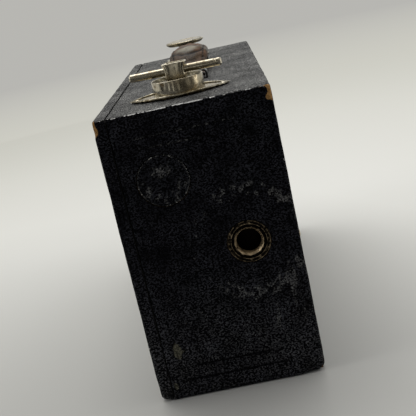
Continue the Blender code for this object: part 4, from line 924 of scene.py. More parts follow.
def skin_side(box, axis, side, step, radius_of, holes=(), extra=((), ()), rear=False, lines=None,
              chips=even(0.0), rub_and_highlight=side_rub, dust_and_sheen=even(0.0), glint_cut=even(SIDE_GLINT_CUT)):
    """One side of a leather wrapping: a grid on a face of the box, cut out, rounded at its edges, made
    a little uneven and tooled. Gives points, quads and the marks on it, each from its own function."""
    low, high = box
    across = [i for i in range(3) if i != axis]
    grid = [grid_lines(low[i], high[i], step, more) for i, more in zip(across, extra)]
    flat = np.stack(np.meshgrid(*grid, indexing="ij"), -1).reshape(-1, 2)
    quads = quads_of(len(grid[0]), len(grid[1]), close_columns=False)
    if holes:
        flat, quads = cut_out(flat, quads, holes)
    q = np.empty((len(flat), 3))
    q[:, across] = flat
    q[:, axis] = high[axis] if side > 0 else low[axis]
    skin, out = rounded(q, low, high, radius_of(q))
    bare, worn, peeled = bare_corners(skin, low, high, rear), worn_edges(skin, out), chips(skin)
    depth = UNEVEN * waves(skin, 14 * MM, seed=3)
    depth += BARE_DEPTH * bare + WORN_DEPTH * worn + PEELED_DEPTH * peeled
    if lines:
        depth += TOOL_DEPTH * lines(skin)
    skin = skin - out * depth[:, None]
    turn = np.cross(skin[quads[:, 1]] - skin[quads[:, 0]], skin[quads[:, 3]] - skin[quads[:, 0]]).sum(0)
    if turn[axis] * side < 0:
        quads = quads[:, ::-1]
    return skin, quads, dict(zip(SKIN_MARKS, (worn, bare, rub_and_highlight(skin), dust_and_sheen(skin), peeled, glint_cut(skin))))


def add_leather(name, sides, body, node=None):
    """Join sides into one skin and give it the leather's thickness inwards."""
    starts = np.cumsum([0] + [len(skin) for skin, _, _ in sides])
    points = np.concatenate([skin for skin, _, _ in sides])
    quads = np.concatenate([cells + start for (_, cells, _), start in zip(sides, starts)])
    marks = {key: np.concatenate([values[key] for _, _, values in sides]) for key in SKIN_MARKS}
    made = make_piece(name, points, quads, BLACK_LEATHER, body, node, marks, closed=False, sharp=80)
    solid = made.modifiers.new("leather", 'SOLIDIFY')
    solid.thickness = LEATHER
    solid.offset = -1


def make_case_leather():
    """Wrapping of the two ends, top, front and base, each with its openings."""
    box = (CASE_LOW, CASE_HIGH)
    tooled = [height * MM + d for height, _, _ in END_LINES for d in TOOL_GRID]
    holes = [disc_hole(BUTTON[1:], BUTTON_R + FIT), disc_hole(BUSH[1:], BUSH_R + FIT)]
    near = skin_side(box, 0, -1, END_STEP, case_radius, holes, ((), tooled), lines=end_lines,
                     chips=end_chips, rub_and_highlight=end_rub_and_highlight, dust_and_sheen=end_paler_foot, glint_cut=tooled_glint_cut)
    add_leather("near_end_leather", [near], "case", "case_covering")

    frame_lines = [[STRAP[i] + s * half + d for s in (-1, 1) for d in TOOL_GRID]
                   for i, half in enumerate((TOP_FRAME_X, TOP_FRAME_Y))]
    holes = [disc_hole(place[:2], SLEEVE_R + FIT) for place in (KEY, KNOB)]
    # The top is pale all over: dust, and a painted sheen where it faces the light
    top = skin_side(box, 2, 1, TOP_STEP, case_radius, holes, frame_lines, lines=top_lines,
                    rub_and_highlight=top_rub, dust_and_sheen=even(1.0), glint_cut=end_glint_cut)
    add_leather("top_leather", [top], "case")

    screen = middle("finder_screen")[1:]
    reach = (0, SCREEN_HALF[1] - SCREEN_HALF[0])
    holes = [slot_hole(screen - reach, screen + reach, SCREEN_HALF[0])]
    far = skin_side(box, 0, 1, SIDE_STEP, case_radius, holes, dust_and_sheen=paler_foot)
    add_leather("far_end_leather", [far], "case")

    holes = [disc_hole(LENS[[0, 2]], FRONT_HOLE_R), disc_hole(FINDER[[0, 2]], FINDER_R + FIT),
             slot_hole(STOP_FROM, STOP_TO, SLOT_R), slot_hole(TIME_FROM, TIME_TO, SLOT_R)]
    holes += arc_slot(LEVER_AT, LEVER_REACH, LEVER_HALF, SLOT_R)
    front = skin_side(box, 1, -1, SIDE_STEP, case_radius, holes, dust_and_sheen=paler_foot)
    add_leather("front_leather", [front], "case", "front_covering")

    holes = [disc_hole(BASE_BUSH[:2], BUSH_R + FIT)]
    base = skin_side(box, 2, -1, BASE_STEP, case_radius, holes)
    add_leather("base_leather", [base], "case", "base_covering")


def make_cover_leather():
    """Wrapping of the rear cover: its back and the four rims that meet the case."""
    box = (COVER_LOW, COVER_HIGH)
    holes = [disc_hole(WINDOW[[0, 2]], WINDOW_R)]
    sides = [skin_side(box, 1, 1, SIDE_STEP, cover_radius, holes, rear=True)]
    # The upper rim is pale all over like the top, dust and a painted sheen; the other rims grow paler
    # towards their foot
    for axis, side, dust_and_sheen in ((0, -1, paler_foot), (0, 1, paler_foot), (2, -1, paler_foot), (2, 1, even(1.0))):
        sides.append(skin_side(box, axis, side, SIDE_STEP, cover_radius, rear=True, dust_and_sheen=dust_and_sheen,
                               glint_cut=end_glint_cut))
    add_leather("cover_skin", sides, "rear_cover", "cover_leather")


# Turned fittings

def make_button(steps=96):
    """Leather-faced button: a low dome with a rolled edge on its wooden plug and rim, as a profile
    carried round. Its rub is a crescent above the middle and a spotted belt below it."""
    low, high = corners("release_button")
    face = low[0]
    depth = high[0] - face
    dome = [(BUTTON_R * s, 0.22 * MM * (1 - s ** 2) - 0.1 * MM * s ** 6)
            for s in np.linspace(0, 0.93, 16)]
    body = soften([dome[-1], (BUTTON_R, -0.25 * MM), (BUTTON_R, -BUTTON_RIM_FROM),
                   (BUTTON_RIM_R, -BUTTON_RIM_FROM), (BUTTON_RIM_R, -BUTTON_RIM_TO),
                   (BUTTON_PIN_R, -BUTTON_RIM_TO), (BUTTON_PIN_R, -depth), (0, -depth)], 0.35 * MM)
    profile = np.concatenate([dome, body[1:]])
    points = turn_points(*carried_round(profile, steps), (face, BUTTON[1], BUTTON[2]), "near")
    y, z = points[..., 1] - BUTTON[1], points[..., 2] - BUTTON[2]
    crescent = bell(np.hypot(y + 0.3 * MM, (z - 3.4 * MM) * 1.6), 3.2 * MM)
    share = np.hypot(y, z) / BUTTON_R
    belt = ease(share, 0.40, 0.62) * ease(share, 0.97, 0.85) * ease(z, 5 * MM, -1 * MM)
    spots = ease(waves(points, 2.6 * MM, seed=51), -0.9, 0.8)
    rub_and_highlight = np.clip(0.95 * crescent + 0.5 * belt * spots, 0, 1)
    edge = ease(share, 0.94, 0.98) * ease(waves(points, 12 * MM, seed=52), -2.2, -0.4)
    edge = edge * (points[..., 0] < face + 0.5 * MM)
    marks = {"worn": 0.36 * edge, "rub_and_highlight": np.maximum(rub_and_highlight, 0.7 * edge), "glint_cut": TOP_GLINT_CUT + 0 * edge}
    make_piece("button_face", points, quads_of(len(profile), steps), BLACK_LEATHER, "button",
               "release_button", marks)


def make_bush(node, place, facing, steps=96):
    """Flanged bush with a ring groove and a cut thread: down the bore the radius follows a helix, a
    triangle wave of height over pitch less the turn. Painted shade lies deep in the bore and in the
    groove, and the flange and the face are darker."""
    bore_r, body_r, flange_r = BUSH_BORE_R, BUSH_BODY_R, BUSH_R
    lip = soften([(bore_r - 0.1 * MM, -0.9 * MM), (bore_r + 0.55 * MM, 0), (body_r - 0.45 * MM, 0),
                  (body_r - 0.35 * MM, -BUSH_GROOVE), (body_r + 0.25 * MM, -BUSH_GROOVE),
                  (body_r + 0.4 * MM, 0), (flange_r - 0.1 * MM, 0.05 * MM), (flange_r, -0.3 * MM),
                  (flange_r, -BUSH_FLANGE), (body_r, -BUSH_FLANGE), (body_r, -BUSH_END),
                  (0, -BUSH_END)], 0.22 * MM)
    bore_h = np.linspace(-BUSH_DEPTH, -1.1 * MM, THREAD_ROWS)
    bore = np.stack([np.full(THREAD_ROWS, bore_r), bore_h], -1)
    profile = np.concatenate([[(0, -BUSH_DEPTH)], bore, lip])
    radius, height = carried_round(profile, steps)
    turn = (height / THREAD_PITCH - angles(steps) / tau) % 1.0
    ridge = THREAD_DEPTH * (np.abs(2 * turn - 1) - 0.5)
    radius[1:1 + THREAD_ROWS] += ridge[1:1 + THREAD_ROWS]
    deep = ease(-height, 2.6 * MM, 5.2 * MM) * (radius < body_r - THREAD_DEPTH)
    groove = ease(-height, 0.1 * MM, 0.4 * MM) * (radius > body_r - 0.5 * MM)
    ledge = (radius < flange_r - 0.25 * MM) * (radius > body_r + 0.55 * MM)
    flange = (0.42 + 0.26 * ledge) * (radius > body_r)
    face = 0.62 * (height > -0.3 * MM) * (radius > bore_r + 0.5 * MM) * (radius < body_r - 0.3 * MM)
    points = turn_points(radius, height, place, facing)
    make_piece(node + "_threaded", points, quads_of(len(profile), steps), BRASS, "case", node,
               {"dirt_and_shade": np.max([deep, groove, flange, face], 0)})


# Winding key, its plate and the pull knob

def oval_radius(angle):
    """Distance from the middle of a pointed oval, made of two arcs, to its outline at an angle."""
    arc = (PLATE_HALF ** 2 + PLATE_HALF_WIDTH ** 2) / (2 * PLATE_HALF_WIDTH)
    offset = arc - PLATE_HALF_WIDTH
    return np.sqrt(arc ** 2 - (offset * np.sin(angle)) ** 2) - offset * np.abs(np.cos(angle))


def make_key_plate(steps=160):
    """Pointed-oval plate with a rolled bead along its edge, thinning towards its points. Each row lies
    a set way outside the hole or inside the outline, at a set height."""
    foot = corners("key_plate")[0][2]
    rim = oval_radius(angles(steps))
    hole = SLEEVE_R + FIT
    thin = 1 - 0.45 * ease(rim, 12 * MM, PLATE_HALF)
    by_hole = [(0.0, 0.0), (0.0, PLATE_THICK - 0.1 * MM), (0.3 * MM, PLATE_THICK)]
    flat = [(3.4 * MM, PLATE_THICK), (1.5 * MM, PLATE_THICK)]
    bead = [(PLATE_BEAD - PLATE_BEAD * cos(t - pi), 0.62 * MM + PLATE_BEAD * sin(t))
            for t in np.linspace(1.0, -0.5, 9) * pi * 0.66 + 0.34 * pi]
    by_rim = flat + bead + [(0.35 * MM, 0.0)]
    radius = [hole + way + 0 * rim for way, _ in by_hole]
    radius += [np.maximum(rim - way, hole + 0.6 * MM) for way, _ in by_rim]
    height = np.stack([height * thin for _, height in by_hole + by_rim])
    points = turn_points(np.stack(radius), height, (KEY[0], KEY[1], foot), "up")
    # Painted dark reflection on the flat, in the tarnish tone, easing off towards the points; the bead
    # is darkened too, dimming its highlights, more so towards the points
    dirt_and_shade = np.zeros(height.shape)
    inner = len(by_hole + flat)
    dirt_and_shade[:inner] = 0.6 - 0.25 * ease(rim, 12 * MM, 16 * MM)
    dirt_and_shade[inner:] = 0.25 + 0.25 * ease(rim, 12 * MM, 17 * MM)
    make_piece("key_plate_beaded", points, quads_of(len(radius), steps, True), NICKEL, "case",
               "key_plate", {"dirt_and_shade": dirt_and_shade}, sharp=60)
    tips = [(KEY[0], KEY[1] + s * PLATE_SCREW, foot + 0.25 * MM) for s in (-1, 1)]
    add_screws("key_plate_screws", tips, "up", 0.95 * MM, NICKEL, "case")


def add_screws(name, places, facing, radius, material, body, rows=9, steps=28, turn=0.7):
    """Domed screw heads: a cap of a sphere on a short wall, with a slot sunk across it."""
    share = np.repeat(np.linspace(0, 1, rows)[:, None], steps, 1)
    across = np.abs(share * np.sin(angles(steps) + turn))
    dome = radius * (0.25 + 0.35 * (1 - share ** 2)) - radius * 0.3 * ease(across, 0.24, 0.14)
    share = np.concatenate([share, share[-1:]])
    height = np.concatenate([dome, np.full((1, steps), -0.3 * radius)])
    points = np.concatenate([turn_points(radius * share, height, place, facing) for place in places])
    quads = [quads_of(rows + 1, steps) + i * (rows + 1) * steps for i in range(len(places))]
    make_piece(name, points, np.concatenate(quads), material, body, sharp=30)


def make_collar():
    """Turning collar with a crisp upper lip round a dished top that is darker inside the lip, and its
    sleeve, as one closed profile carried round."""
    low, high = corners("key_collar")
    base = corners("key_plate")[0][2] + PLATE_THICK + 0.1 * MM
    top, foot = high[2] - base, low[2] - base
    lip, dish = COLLAR_R - 0.4 * MM, top - COLLAR_DISH
    outline = [(STEM_HOLE_R, dish), (lip - 0.3 * MM, dish), (lip, top), (COLLAR_R, top), (COLLAR_R, 0),
               (SLEEVE_R, 0), (SLEEVE_R, foot), (STEM_HOLE_R, foot)]
    turned("key_collar_turned", outline, 0.22 * MM, (KEY[0], KEY[1], base), "up", NICKEL, "key_drum",
           "key_collar", steps=144, ring=True, dirt_and_shade=lambda r, h: 0.6 * (r < lip) * (h > 0))


def turned_about_z(angle):
    """Matrix that turns rows of points about Z."""
    return np.array(((cos(angle), sin(angle), 0), (-sin(angle), cos(angle), 0), (0, 0, 1)))


def make_key():
    """Key block flared to its top on a square stem, with the cross-bar through it. Every level is a
    squircle with half widths along and across the bar; the block's levels are turned with the bar."""
    low, high = corners("winding_key")
    base, top = corners("key_collar")[1][2] - COLLAR_DISH + 0.1 * MM, high[2]
    thin, wide = BLOCK_HALF
    stem = [(*TONGUE_HALF, low[2]), (*TONGUE_HALF, DRIVE_TOP), (STEM_HALF, STEM_HALF, DRIVE_TOP),
            (STEM_HALF, STEM_HALF, base)]
    block = [(thin - 0.2 * MM, wide - 0.2 * MM, base), (thin, wide, base + 0.25 * MM)]
    block += [(thin, wide + BLOCK_FLARE * t ** 5, base + 1 * MM + (top - base - 1.5 * MM) * t)
              for t in np.linspace(0, 1, 12)]
    ear = wide + BLOCK_FLARE
    block += [(thin, ear, top - 0.25 * MM), (thin - 0.15 * MM, ear - 0.2 * MM, top - 0.04 * MM),
              (thin - 0.4 * MM, ear - 0.5 * MM, top), (thin - 0.6 * MM, ear - 0.8 * MM, top - 0.1 * MM),
              (thin - 0.8 * MM, ear - 1.2 * MM, top - 0.5 * MM)]
    a, b = squircle(96, 5.0)
    sizes = np.array(stem + block)
    rings = np.stack([sizes[:, :1] * a, sizes[:, 1:2] * b, sizes[:, 2:] + 0 * a], -1)
    rings[len(stem):] = rings[len(stem):] @ turned_about_z(KEY_TURN)
    dirt_and_shade = np.zeros(rings.shape[:2])
    dirt_and_shade[-2:] = 0.5
    lofted("key_block", rings + (KEY[0], KEY[1], 0), NICKEL, "key", "winding_key", {"dirt_and_shade": dirt_and_shade}, 50)

    neck, tip = BAR_R - 0.12 * MM, BAR_R - 0.55 * MM
    ring = BAR_HALF - BAR_GROOVE
    outline = [(0, BAR_HALF), (tip, BAR_HALF), (BAR_R, BAR_HALF - 0.5 * MM), (BAR_R, ring + 0.5 * MM),
               (neck, ring + 0.35 * MM), (neck, ring - 0.1 * MM), (BAR_R, ring - 0.25 * MM),
               (BAR_R, 0.5 * MM - BAR_HALF), (tip, -BAR_HALF), (0, -BAR_HALF)]
    axes = FACING["front"] @ turned_about_z(KEY_TURN)
    turned("key_cross_bar", outline, 0.3 * MM, middle("key_bar"), axes, NICKEL, "key", "key_bar",
           steps=48, dirt_and_shade=lambda r, h: 0.08 + 0 * h)


def make_knob():
    """Flat pull knob with a thin rolled edge and a dished face, on its bossed plate, both profiles
    carried round."""
    low, high = corners("spool_knob")
    head, stem, pin = KNOB_R, KNOB_STEM_R, KNOB_PIN_R
    shoulder, foot = DRIVE_TOP - high[2], low[2] - high[2]
    outline = [(0, -0.45 * MM), (head - 2.2 * MM, -0.35 * MM), (head - 1.0 * MM, 0), (head, -0.35 * MM),
               (head, -1.2 * MM), (head - 1.6 * MM, -2.2 * MM), (stem + 1.2 * MM, -2.4 * MM),
               (stem, -3.1 * MM), (stem, shoulder), (pin, shoulder), (pin, foot), (0, foot)]
    turned("pull_knob", outline, 0.45 * MM, (KNOB[0], KNOB[1], high[2]), "up", NICKEL, "knob",
           "spool_knob", steps=120,
           # A little soiling all over, darker at the rim, and painted shade under the head
           dirt_and_shade=lambda r, h: 0.12 + 0.16 * (r > 0.8 * head) + 0.3 * (h < -1.1 * MM))

    low, high = corners("knob_plate")
    seat = high[2] - KNOB_BOSS
    foot = low[2] - seat
    outline = [(KNOB_BORE_R, KNOB_BOSS), (SLEEVE_R - 0.4 * MM, KNOB_BOSS), (SLEEVE_R, 3.0 * MM),
               (SLEEVE_R + 0.3 * MM, 1.2 * MM), (KNOB_PLATE_R - 0.9 * MM, 0.85 * MM),
               (KNOB_PLATE_R, 0.45 * MM), (KNOB_PLATE_R, 0), (SLEEVE_R, 0), (SLEEVE_R, foot),
               (KNOB_BORE_R, foot)]
    turned("knob_plate_turned", outline, 0.35 * MM, (KNOB[0], KNOB[1], seat), "up", NICKEL, "case",
           "knob_plate", ring=True)


# Carrying strap

def strap_section(x):
    """Rise, half width, thickness and height of the underside at x. The rise is a smooth step up from
    the flat ends to the crest, and the others follow it from their end values to those at the crest."""
    share = ease(STRAP_HALF - STRAP_FLAT_END - np.abs(x), 0, STRAP_RISE)
    half = (STRAP_END_WIDTH + (STRAP_WIDTH - STRAP_END_WIDTH) * share) / 2
    thick = STRAP_END_THICK + (STRAP_THICK - STRAP_END_THICK) * share
    under = FIT + (STRAP_CREST - STRAP_THICK - FIT) * share
    return share, half, thick, under


def strap_height(x, across):
    """Upper surface at x and at a share of the half width: half the thickness over the section's
    middle, by the squircle's own formula, lowered towards the edges by the square of the share."""
    share, _, thick, under = strap_section(x)
    arch = (1 - np.abs(across) ** STRAP_POWER) ** (1 / STRAP_POWER)
    return TOP + under + thick / 2 * (1 + arch) - STRAP_CROWN * share * across ** 2


def make_strap():
    """Padded leather strap: squircle sections along the arch, pinched along the stitch lines and
    wrinkled across where it bends, with one fold beside the painted sheen."""
    x = np.linspace(-STRAP_HALF, STRAP_HALF, 140)[:, None]
    a, b = squircle(80, STRAP_POWER)
    share, half, thick, under = strap_section(x)
    tip = 1 - 0.35 * ease(np.abs(x), STRAP_HALF - 2.5 * MM, STRAP_HALF) ** 2
    z = TOP + under + (1 + b) * thick / 2 - STRAP_CROWN * share * a ** 2
    x = x + 0 * a
    points = np.stack([x, STRAP[1] + a * tip * half, z], -1)
    above = ease(b, 0.05, 0.5)
    pinch = bell(np.abs(a) - STITCH_INSET, 0.05) * above
    bend = share * (1 - share) * 4
    ripple = np.sin(x * tau / (2.6 * MM) + 2 * waves(points, 6 * MM, seed=61))
    creases = bend * ease(ripple, 0.3, 1.0) * above
    bulge = 0.12 * MM * waves(points, 5 * MM, seed=62) * above
    points[..., 2] += bulge - 0.32 * MM * pinch - 0.16 * MM * creases
    oval = np.hypot((x + SHEEN_X) / SHEEN_HALF, a / SHEEN_SHARE)
    fold = bell(oval - 1.25, 0.10) * (x < -SHEEN_X) * above
    points[..., 2] -= 0.35 * MM * fold
    # Marks: painted shade in the pinches, creases and fold, darker edges, and the oval of painted sheen
    edge = 0.6 * ease(np.abs(a), 0.90, 0.99) * share
    marks = {"crease_shade": np.clip(0.75 * pinch + 0.45 * creases + fold + edge, 0, 1),
             "rub_and_highlight": ease(oval, 1.15, 0.55) * above}
    lofted("carrying_strap", points, BROWN_LEATHER, "case", "handle_strap", marks, sharp=60)


def make_stitches(rows=6, steps=8, step=0.2 * MM):
    """Two rows of thread: an ellipsoid for each stitch, laid along the strap's slope."""
    reach = STRAP_HALF - STRAP_FLAT_END - 2 * MM
    count = int(2 * reach / STITCH_STEP)
    x = np.tile(np.linspace(-reach, reach, count), 2)
    across = STITCH_INSET * np.repeat((-1.0, 1.0), count)
    slope = (strap_height(x + step, across) - strap_height(x - step, across)) / (2 * step)
    along = unit(np.stack([np.ones_like(slope), 0 * slope, slope], -1))
    sideways = np.tile((0.0, 1.0, 0.0), (len(x), 1))
    upward = np.cross(along, sideways)
    y = STRAP[1] + across * strap_section(x)[1]
    centres = np.stack([x, y, strap_height(x, across) - STITCH_SUNK], -1)
    polar, angle = np.linspace(0, pi, rows)[:, None], angles(steps)
    ball = [np.cos(polar) + 0 * angle, np.sin(polar) * np.cos(angle), np.sin(polar) * np.sin(angle)]
    form = np.stack(ball, -1) * STITCH
    points = centres[:, None, None]
    for i, way in enumerate((along, sideways, upward)):
        points = points + form[None, ..., i:i + 1] * way[:, None, None]
    quads = quads_of(rows, steps) + rows * steps * np.arange(len(x))[:, None, None]
    make_piece("strap_stitches", points, quads.reshape(-1, 4), THREAD, "case")


def make_loops():
    """Enamelled staple over each strap end: a rounded flat section carried along its bent path."""
    outer = STRAP_END_WIDTH / 2 + FIT + LOOP_HALF_THICK
    top = STRAP_END_THICK + FIT + LOOP_HALF_THICK + FIT
    foot = FIT - LOOP_LEG
    path = soften([(-outer, foot), (-outer, top), (outer, top), (outer, foot)], 1.6 * MM, 10)
    run = unit(np.gradient(path, axis=0))
    normal = np.stack([-run[:, 1], run[:, 0]], -1)
    a, b = squircle(28, 4.0)
    for end, side in (("near", -1), ("far", 1)):
        x = side * LOOP_X + LOOP_HALF * a + 0 * path[:, :1]
        y = STRAP[1] + path[:, :1] + normal[:, :1] * b * LOOP_HALF_THICK
        z = TOP + path[:, 1:] + normal[:, 1:] * b * LOOP_HALF_THICK
        lofted("strap_staple_" + end, np.stack([x, y, z], -1), LACQUER, "case", "strap_loop_" + end,
               sharp=50)


# Front, rear and inside: profiles of (radius, height) carried round

def make_front():
    """Lens ring turned with a stepped face, and the lens, its front a cap of an ellipse."""
    tube = FRONT_HOLE_R - FIT
    bore, ring = tube - LENS_WALL, LENS_RING_R
    outline = [(bore, 0.6 * MM), (tube, 1.7 * MM), (tube + 1.2 * MM, 2.0 * MM), (13.4 * MM, 1.9 * MM),
               (13.7 * MM, 1.5 * MM), (15.2 * MM, 1.3 * MM), (ring, 0.8 * MM), (ring, 0.1 * MM),
               (tube, 0.1 * MM), (tube, -3.3 * MM), (bore, -3.3 * MM)]
    turned("lens_ring", outline, 0.3 * MM, (LENS[0], FRONT, LENS[2]), "front", NICKEL, "case",
           "lens_bezel", steps=128, ring=True)
    low, high = corners("lens")
    radius, depth = (high[0] - low[0]) / 2, high[1] - low[1]
    share = np.linspace(0, 1, 14)
    crown = np.stack([radius * share, depth - LENS_SAG * (1 - np.sqrt(1 - 0.98 * share ** 2))], -1)
    outline = np.concatenate([crown, [(radius, 0), (0, 0)]])
    turned("lens_glass", outline, 0, (LENS[0], high[1], LENS[2]), "front", GLASS, "case", "lens",
           steps=64)


def make_finder():
    """Turned ring round the finder's lens."""
    low, high = corners("finder_lens")
    radius = (high[0] - low[0]) / 2
    inner, outer = radius - 0.6 * MM, radius + 2.0 * MM
    outline = [(inner, 0.2 * MM), (radius - 0.2 * MM, 0.9 * MM), (radius + 1.2 * MM, 0.8 * MM),
               (outer, 0.3 * MM), (outer, 0.05 * MM), (inner, 0.05 * MM)]
    turned("finder_ring", outline, 0.25 * MM, (FINDER[0], FRONT, FINDER[2]), "front", NICKEL, "case",
           ring=True)


def make_tabs():
    """Domed nickel caps on the tabs of the stop slide, the time slide and the shutter lever."""
    lever_tip = LEVER_AT + LEVER_REACH * np.array((cos(LEVER_HALF), -sin(LEVER_HALF)))
    outline = [(0, 0.5 * MM), (1.3 * MM, 0.4 * MM), (CAP_R, -0.1 * MM), (CAP_R, -0.9 * MM),
               (1.5 * MM, -1.3 * MM), (0, -1.3 * MM)]
    for name, node, at, body in (("stop_cap", "stop_slide", STOP_FROM, "stops"),
                                 ("time_cap", "time_slide", TIME_FROM, "time"),
                                 ("lever_cap", "shutter_lever", lever_tip, "lever")):
        tip = corners(node)[0][1]
        turned(name, outline, 0.3 * MM, (at[0], tip, at[1]), "front", NICKEL, body, steps=40)


def make_rear():
    """Window glass and its turned ring, and the hinge's screws."""
    seat = corners("window_ring")[0][1]
    inner, outer = WINDOW_R - FIT, WINDOW_RING_R
    outline = [(inner, 0.55 * MM), (inner + 0.5 * MM, 0.9 * MM), (outer - 1.1 * MM, 0.85 * MM),
               (outer, 0.3 * MM), (outer, -0.2 * MM), (inner, -0.2 * MM)]
    turned("window_ring_turned", outline, 0.25 * MM, (WINDOW[0], seat, WINDOW[2]), "rear", NICKEL,
           "rear_cover", "window_ring", ring=True)
    low, high = corners("red_window")
    radius, thick = (high[0] - low[0]) / 2, high[1] - low[1]
    outline = [(0, thick), (radius, thick), (radius, 0), (0, 0)]
    turned("window_glass", outline, 0.15 * MM, (WINDOW[0], low[1], WINDOW[2]), "rear", RED_FILM,
           "rear_cover", "red_window", steps=64)
    low, high = corners("cover_hinge_fixed")
    heights = np.linspace(low[2] + 4 * MM, high[2] - 4 * MM, HINGE_SCREWS)
    x = CASE_HIGH[0] + HINGE_PROUD
    places = [(x, low[1] + 3.6 * MM, z) for z in heights]
    add_screws("hinge_screws_case", places, "far", 1.3 * MM, STEEL, "case")
    places = [(x, corners("cover_hinge_moving")[1][1] - 1.1 * MM, z) for z in heights]
    add_screws("hinge_screws_cover", places, "far", 0.8 * MM, STEEL, "rear_cover")


def make_spools():
    """Film spools, each a wooden core between enamelled flanges with rolled rims, and the rollers."""
    core, bore, sheet = SPOOL_CORE_R, SPOOL_BORE_R, SPOOL_SHEET
    for node, body in (("take_up_spool", "take_up"), ("supply_spool", "supply")):
        low, high = corners(node)
        length, flange = high[2] - low[2], (high[0] - low[0]) / 2
        foot = (*middle(node)[:2], low[2])
        upper = length - sheet
        outline = [(bore, upper), (core, upper), (core, sheet), (bore, sheet)]
        turned(node + "_core", outline, 0.3 * MM, foot, "up", SPOOL_WOOD, body, node, ring=True)
        for name, base in (("_lower_flange", 0), ("_upper_flange", upper)):
            face, sunk = base + sheet, base + 0.6 * sheet
            outline = [(bore, base), (flange, base), (flange, face), (flange - 0.8 * MM, face),
                       (flange - 1.2 * MM, sunk), (bore, sunk)]
            turned(node + name, outline, 0.2 * MM, foot, "up", LACQUER, body, ring=True)
    barrel, waist, journal, pin = ROLLER_R, ROLLER_WAIST_R, ROLLER_PIN_R, ROLLER_PIN
    for body in ("roller_near", "roller_far"):
        node = "guide_" + body
        low, high = corners(node)
        length = high[2] - low[2]
        upper = length - pin
        outline = [(0, length), (journal, length), (journal, upper), (barrel, upper),
                   (barrel, upper - 4 * MM), (waist, upper - 5 * MM), (waist, pin + 5 * MM),
                   (barrel, pin + 4 * MM), (barrel, pin), (journal, pin), (journal, 0), (0, 0)]
        foot = (*middle(node)[:2], low[2])
        turned(node + "_turned", outline, 0.3 * MM, foot, "up", NICKEL, body, node, steps=48)


# The finish of each frame node that stays in view
FINISHES = (
    (CASE_WOOD, ("top_board", "base_board")),
    (END_WOOD, ("near_end_board", "far_end_board")),
    (BLACK_WOOD, ("cover_panel", "front_board", "near_partition", "far_partition", "lens_board")),
    (LACQUER, ("film_gate", "lens_cell", "shutter_disc", "stop_slide", "time_slide")),
    (STEEL, ("shutter_pivot", "lever_pivot", "shutter_spring", "ratchet_wheel", "click_spring",
             "latch_spring", "cover_keeper", "take_up_pivot", "supply_pivot", "cover_hinge_fixed",
             "cover_hinge_moving", "hinge_pin")),
    (NICKEL, ("finder_bezel", "shutter_lever")),
    (GLASS, ("finder_lens",)),
    (FROSTED, ("finder_screen",)),
    (MIRROR, ("finder_mirror",)),
)


def dress_frame():
    """Give each of those nodes its finish."""
    for material, names in FINISHES:
        for node in (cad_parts[name] for name in names):
            if node.material_slots:
                node.material_slots[0].material = material
            else:
                node.data.materials.append(material)


# Stage

def make_floor():
    """Wide pale floor that keeps its shadows near the object and away from it glows, in the
    background's own tone far off, so that no horizon shows. Near the object its colour is a painted
    fall of light, lighter towards +X and on the front side. Mirrored, its near side is dim with pale
    bands, a painted reflection."""
    material, paint = start_material("pale_floor", Specular_IOR_Level=0.0, Roughness=1.0)
    place = paint.place()
    away = paint.put("ShaderNodeVectorMath", {0: place}, operation='LENGTH').outputs["Value"]
    x, y, _ = paint.axes(place)
    mirrored = paint.put("ShaderNodeLightPath").outputs["Is Glossy Ray"]
    bands = paint.noise(11.0, 1.0, paint.vector('NORMALIZE', place))
    bands = paint.spread(bands, 0.52, 0.60, 0.0, 0.85)
    painted_dim_reflection = paint.reckon('MAXIMUM', paint.spread(x, -0.26, -0.12, 0.03, 1.0), bands)
    front_side = paint.spread(y, -0.14, 0.0, 1.0, 0.8)
    painted_falloff = paint.times(paint.spread(x, -0.12, 0.22, 0.84, 1.20), front_side)
    shown = paint.value(mirrored, painted_falloff, painted_dim_reflection)
    far = paint.spread(away, 0.18, 0.75)
    tone = paint.colour(paint.noise(3.0), *FLOOR_TONES)
    kept = paint.value(mirrored, 1.0, painted_dim_reflection)
    paint.send(Base_Color=paint.colour(paint.reckon('SUBTRACT', shown, far), (0, 0, 0), tone),
               Emission_Color=paint.colour(paint.spread(away, 0.45, 1.5), MID_PALE, PALE),
               Emission_Strength=paint.times(far, kept))
    mesh = bpy.data.meshes.new("floor")
    line = np.linspace(-FLOOR_HALF, FLOOR_HALF, FLOOR_LINES)
    x, y = np.meshgrid(line, line, indexing="ij")
    points = np.stack([x, y, 0 * x - FLOOR_DROP], -1).reshape(-1, 3)
    quads = quads_of(FLOOR_LINES, FLOOR_LINES, close_columns=False)[:, ::-1]
    mesh.from_pydata(points.tolist(), [], quads.tolist())
    mesh.materials.append(material)
    floor = link(bpy.data.objects.new("floor", mesh))


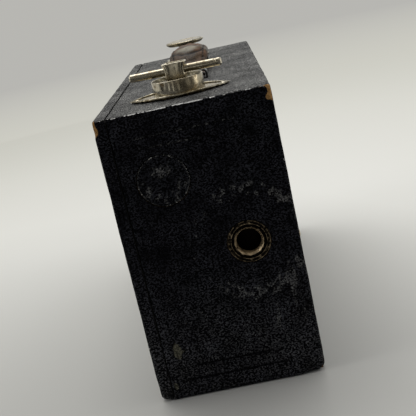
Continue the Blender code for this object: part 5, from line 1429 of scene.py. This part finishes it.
def make_world():
    """Room light from above and behind, dim on the near side. Reflections see it broken into bright
    and dark patches, and the camera sees one pale tone."""
    world = bpy.data.worlds.new("studio")
    bpy.context.scene.world = world
    world.use_nodes = True
    paint = Painter(world.node_tree, world.node_tree.nodes["Background"].inputs)
    path = paint.put("ShaderNodeLightPath").outputs
    aim = paint.put("ShaderNodeTexCoord").outputs["Generated"]
    sweep = paint.spread(paint.axes(aim)[0], -0.55, 0.35)
    lit = paint.colour(sweep, (0.10, 0.10, 0.11), AMBIENT)
    stretch = paint.vector('MULTIPLY', aim, (2.6, 5.0, 1.6))
    patches = paint.spread(paint.noise(1.0, 2.0, stretch), 0.42, 0.60)
    dim = paint.colour(patches, (0.02, 0.02, 0.02), (0.42, 0.41, 0.38))
    pale = paint.colour(patches, (0.40, 0.40, 0.38), (1.0, 1.0, 0.96))
    seen = paint.reckon('MAXIMUM', path["Is Glossy Ray"], path["Is Transmission Ray"])
    colour = paint.colour(seen, lit, paint.colour(sweep, dim, pale))
    paint.send(Color=paint.colour(path["Is Camera Ray"], colour, PALE))


def set_axes(made, right, up, back, place):
    """Put an object at a place, with its own axes along three directions."""
    rows = np.stack([right, up, back, place], -1).tolist()
    made.matrix_world = Matrix(rows + [[0, 0, 0, 1]])


def add_lamp(name, place, size, power):
    """Rectangular lamp that looks at the object, its sides level."""
    data = bpy.data.lights.new(name, 'AREA')
    data.shape = 'RECTANGLE'
    data.size, data.size_y = size
    data.energy = power
    back = unit(np.array(place, float) - np.array(LAMP_TARGET, float))
    side = unit(np.cross((0, 0, 1), back))
    set_axes(link(bpy.data.objects.new(name, data)), side, np.cross(back, side), back, place)


def make_lamps():
    """Soft light from above, a window on the left and a weak strip on the right."""
    add_lamp("top_softbox", (0.30, 0.10, 0.75), (0.55, 0.55), 2.5)
    add_lamp("left_window", (-0.15, 0.75, 0.45), (0.35, 0.6), 0.9)
    add_lamp("right_strip", (-0.05, -0.70, 0.30), (0.2, 0.6), 0.8)


def make_camera():
    """Camera at the photograph's eye point; its up direction is squared to its right one."""
    data = bpy.data.cameras.new("camera")
    data.lens = LENS_MM
    data.sensor_width = SENSOR_MM
    data.clip_start = NEAREST
    camera = link(bpy.data.objects.new("camera", data))
    right = unit(np.array(LOOK_RIGHT))
    up = unit(np.array(LOOK_UP) - right * np.dot(LOOK_UP, right))
    set_axes(camera, right, up, np.cross(right, up), EYE)
    bpy.context.scene.camera = camera


make_case_leather()
make_cover_leather()
make_button()
make_bush("end_bush", (CASE_LOW[0], BUSH[1], BUSH[2]), "near")
make_bush("base_bush", (BASE_BUSH[0], BASE_BUSH[1], CASE_LOW[2]), "down")
make_key_plate()
make_collar()
make_key()
make_knob()
make_strap()
make_stitches()
make_loops()
make_front()
make_finder()
make_tabs()
make_rear()
make_spools()
dress_frame()
make_floor()
make_world()
make_lamps()
make_camera()
bpy.context.scene.view_settings.view_transform = 'Standard'
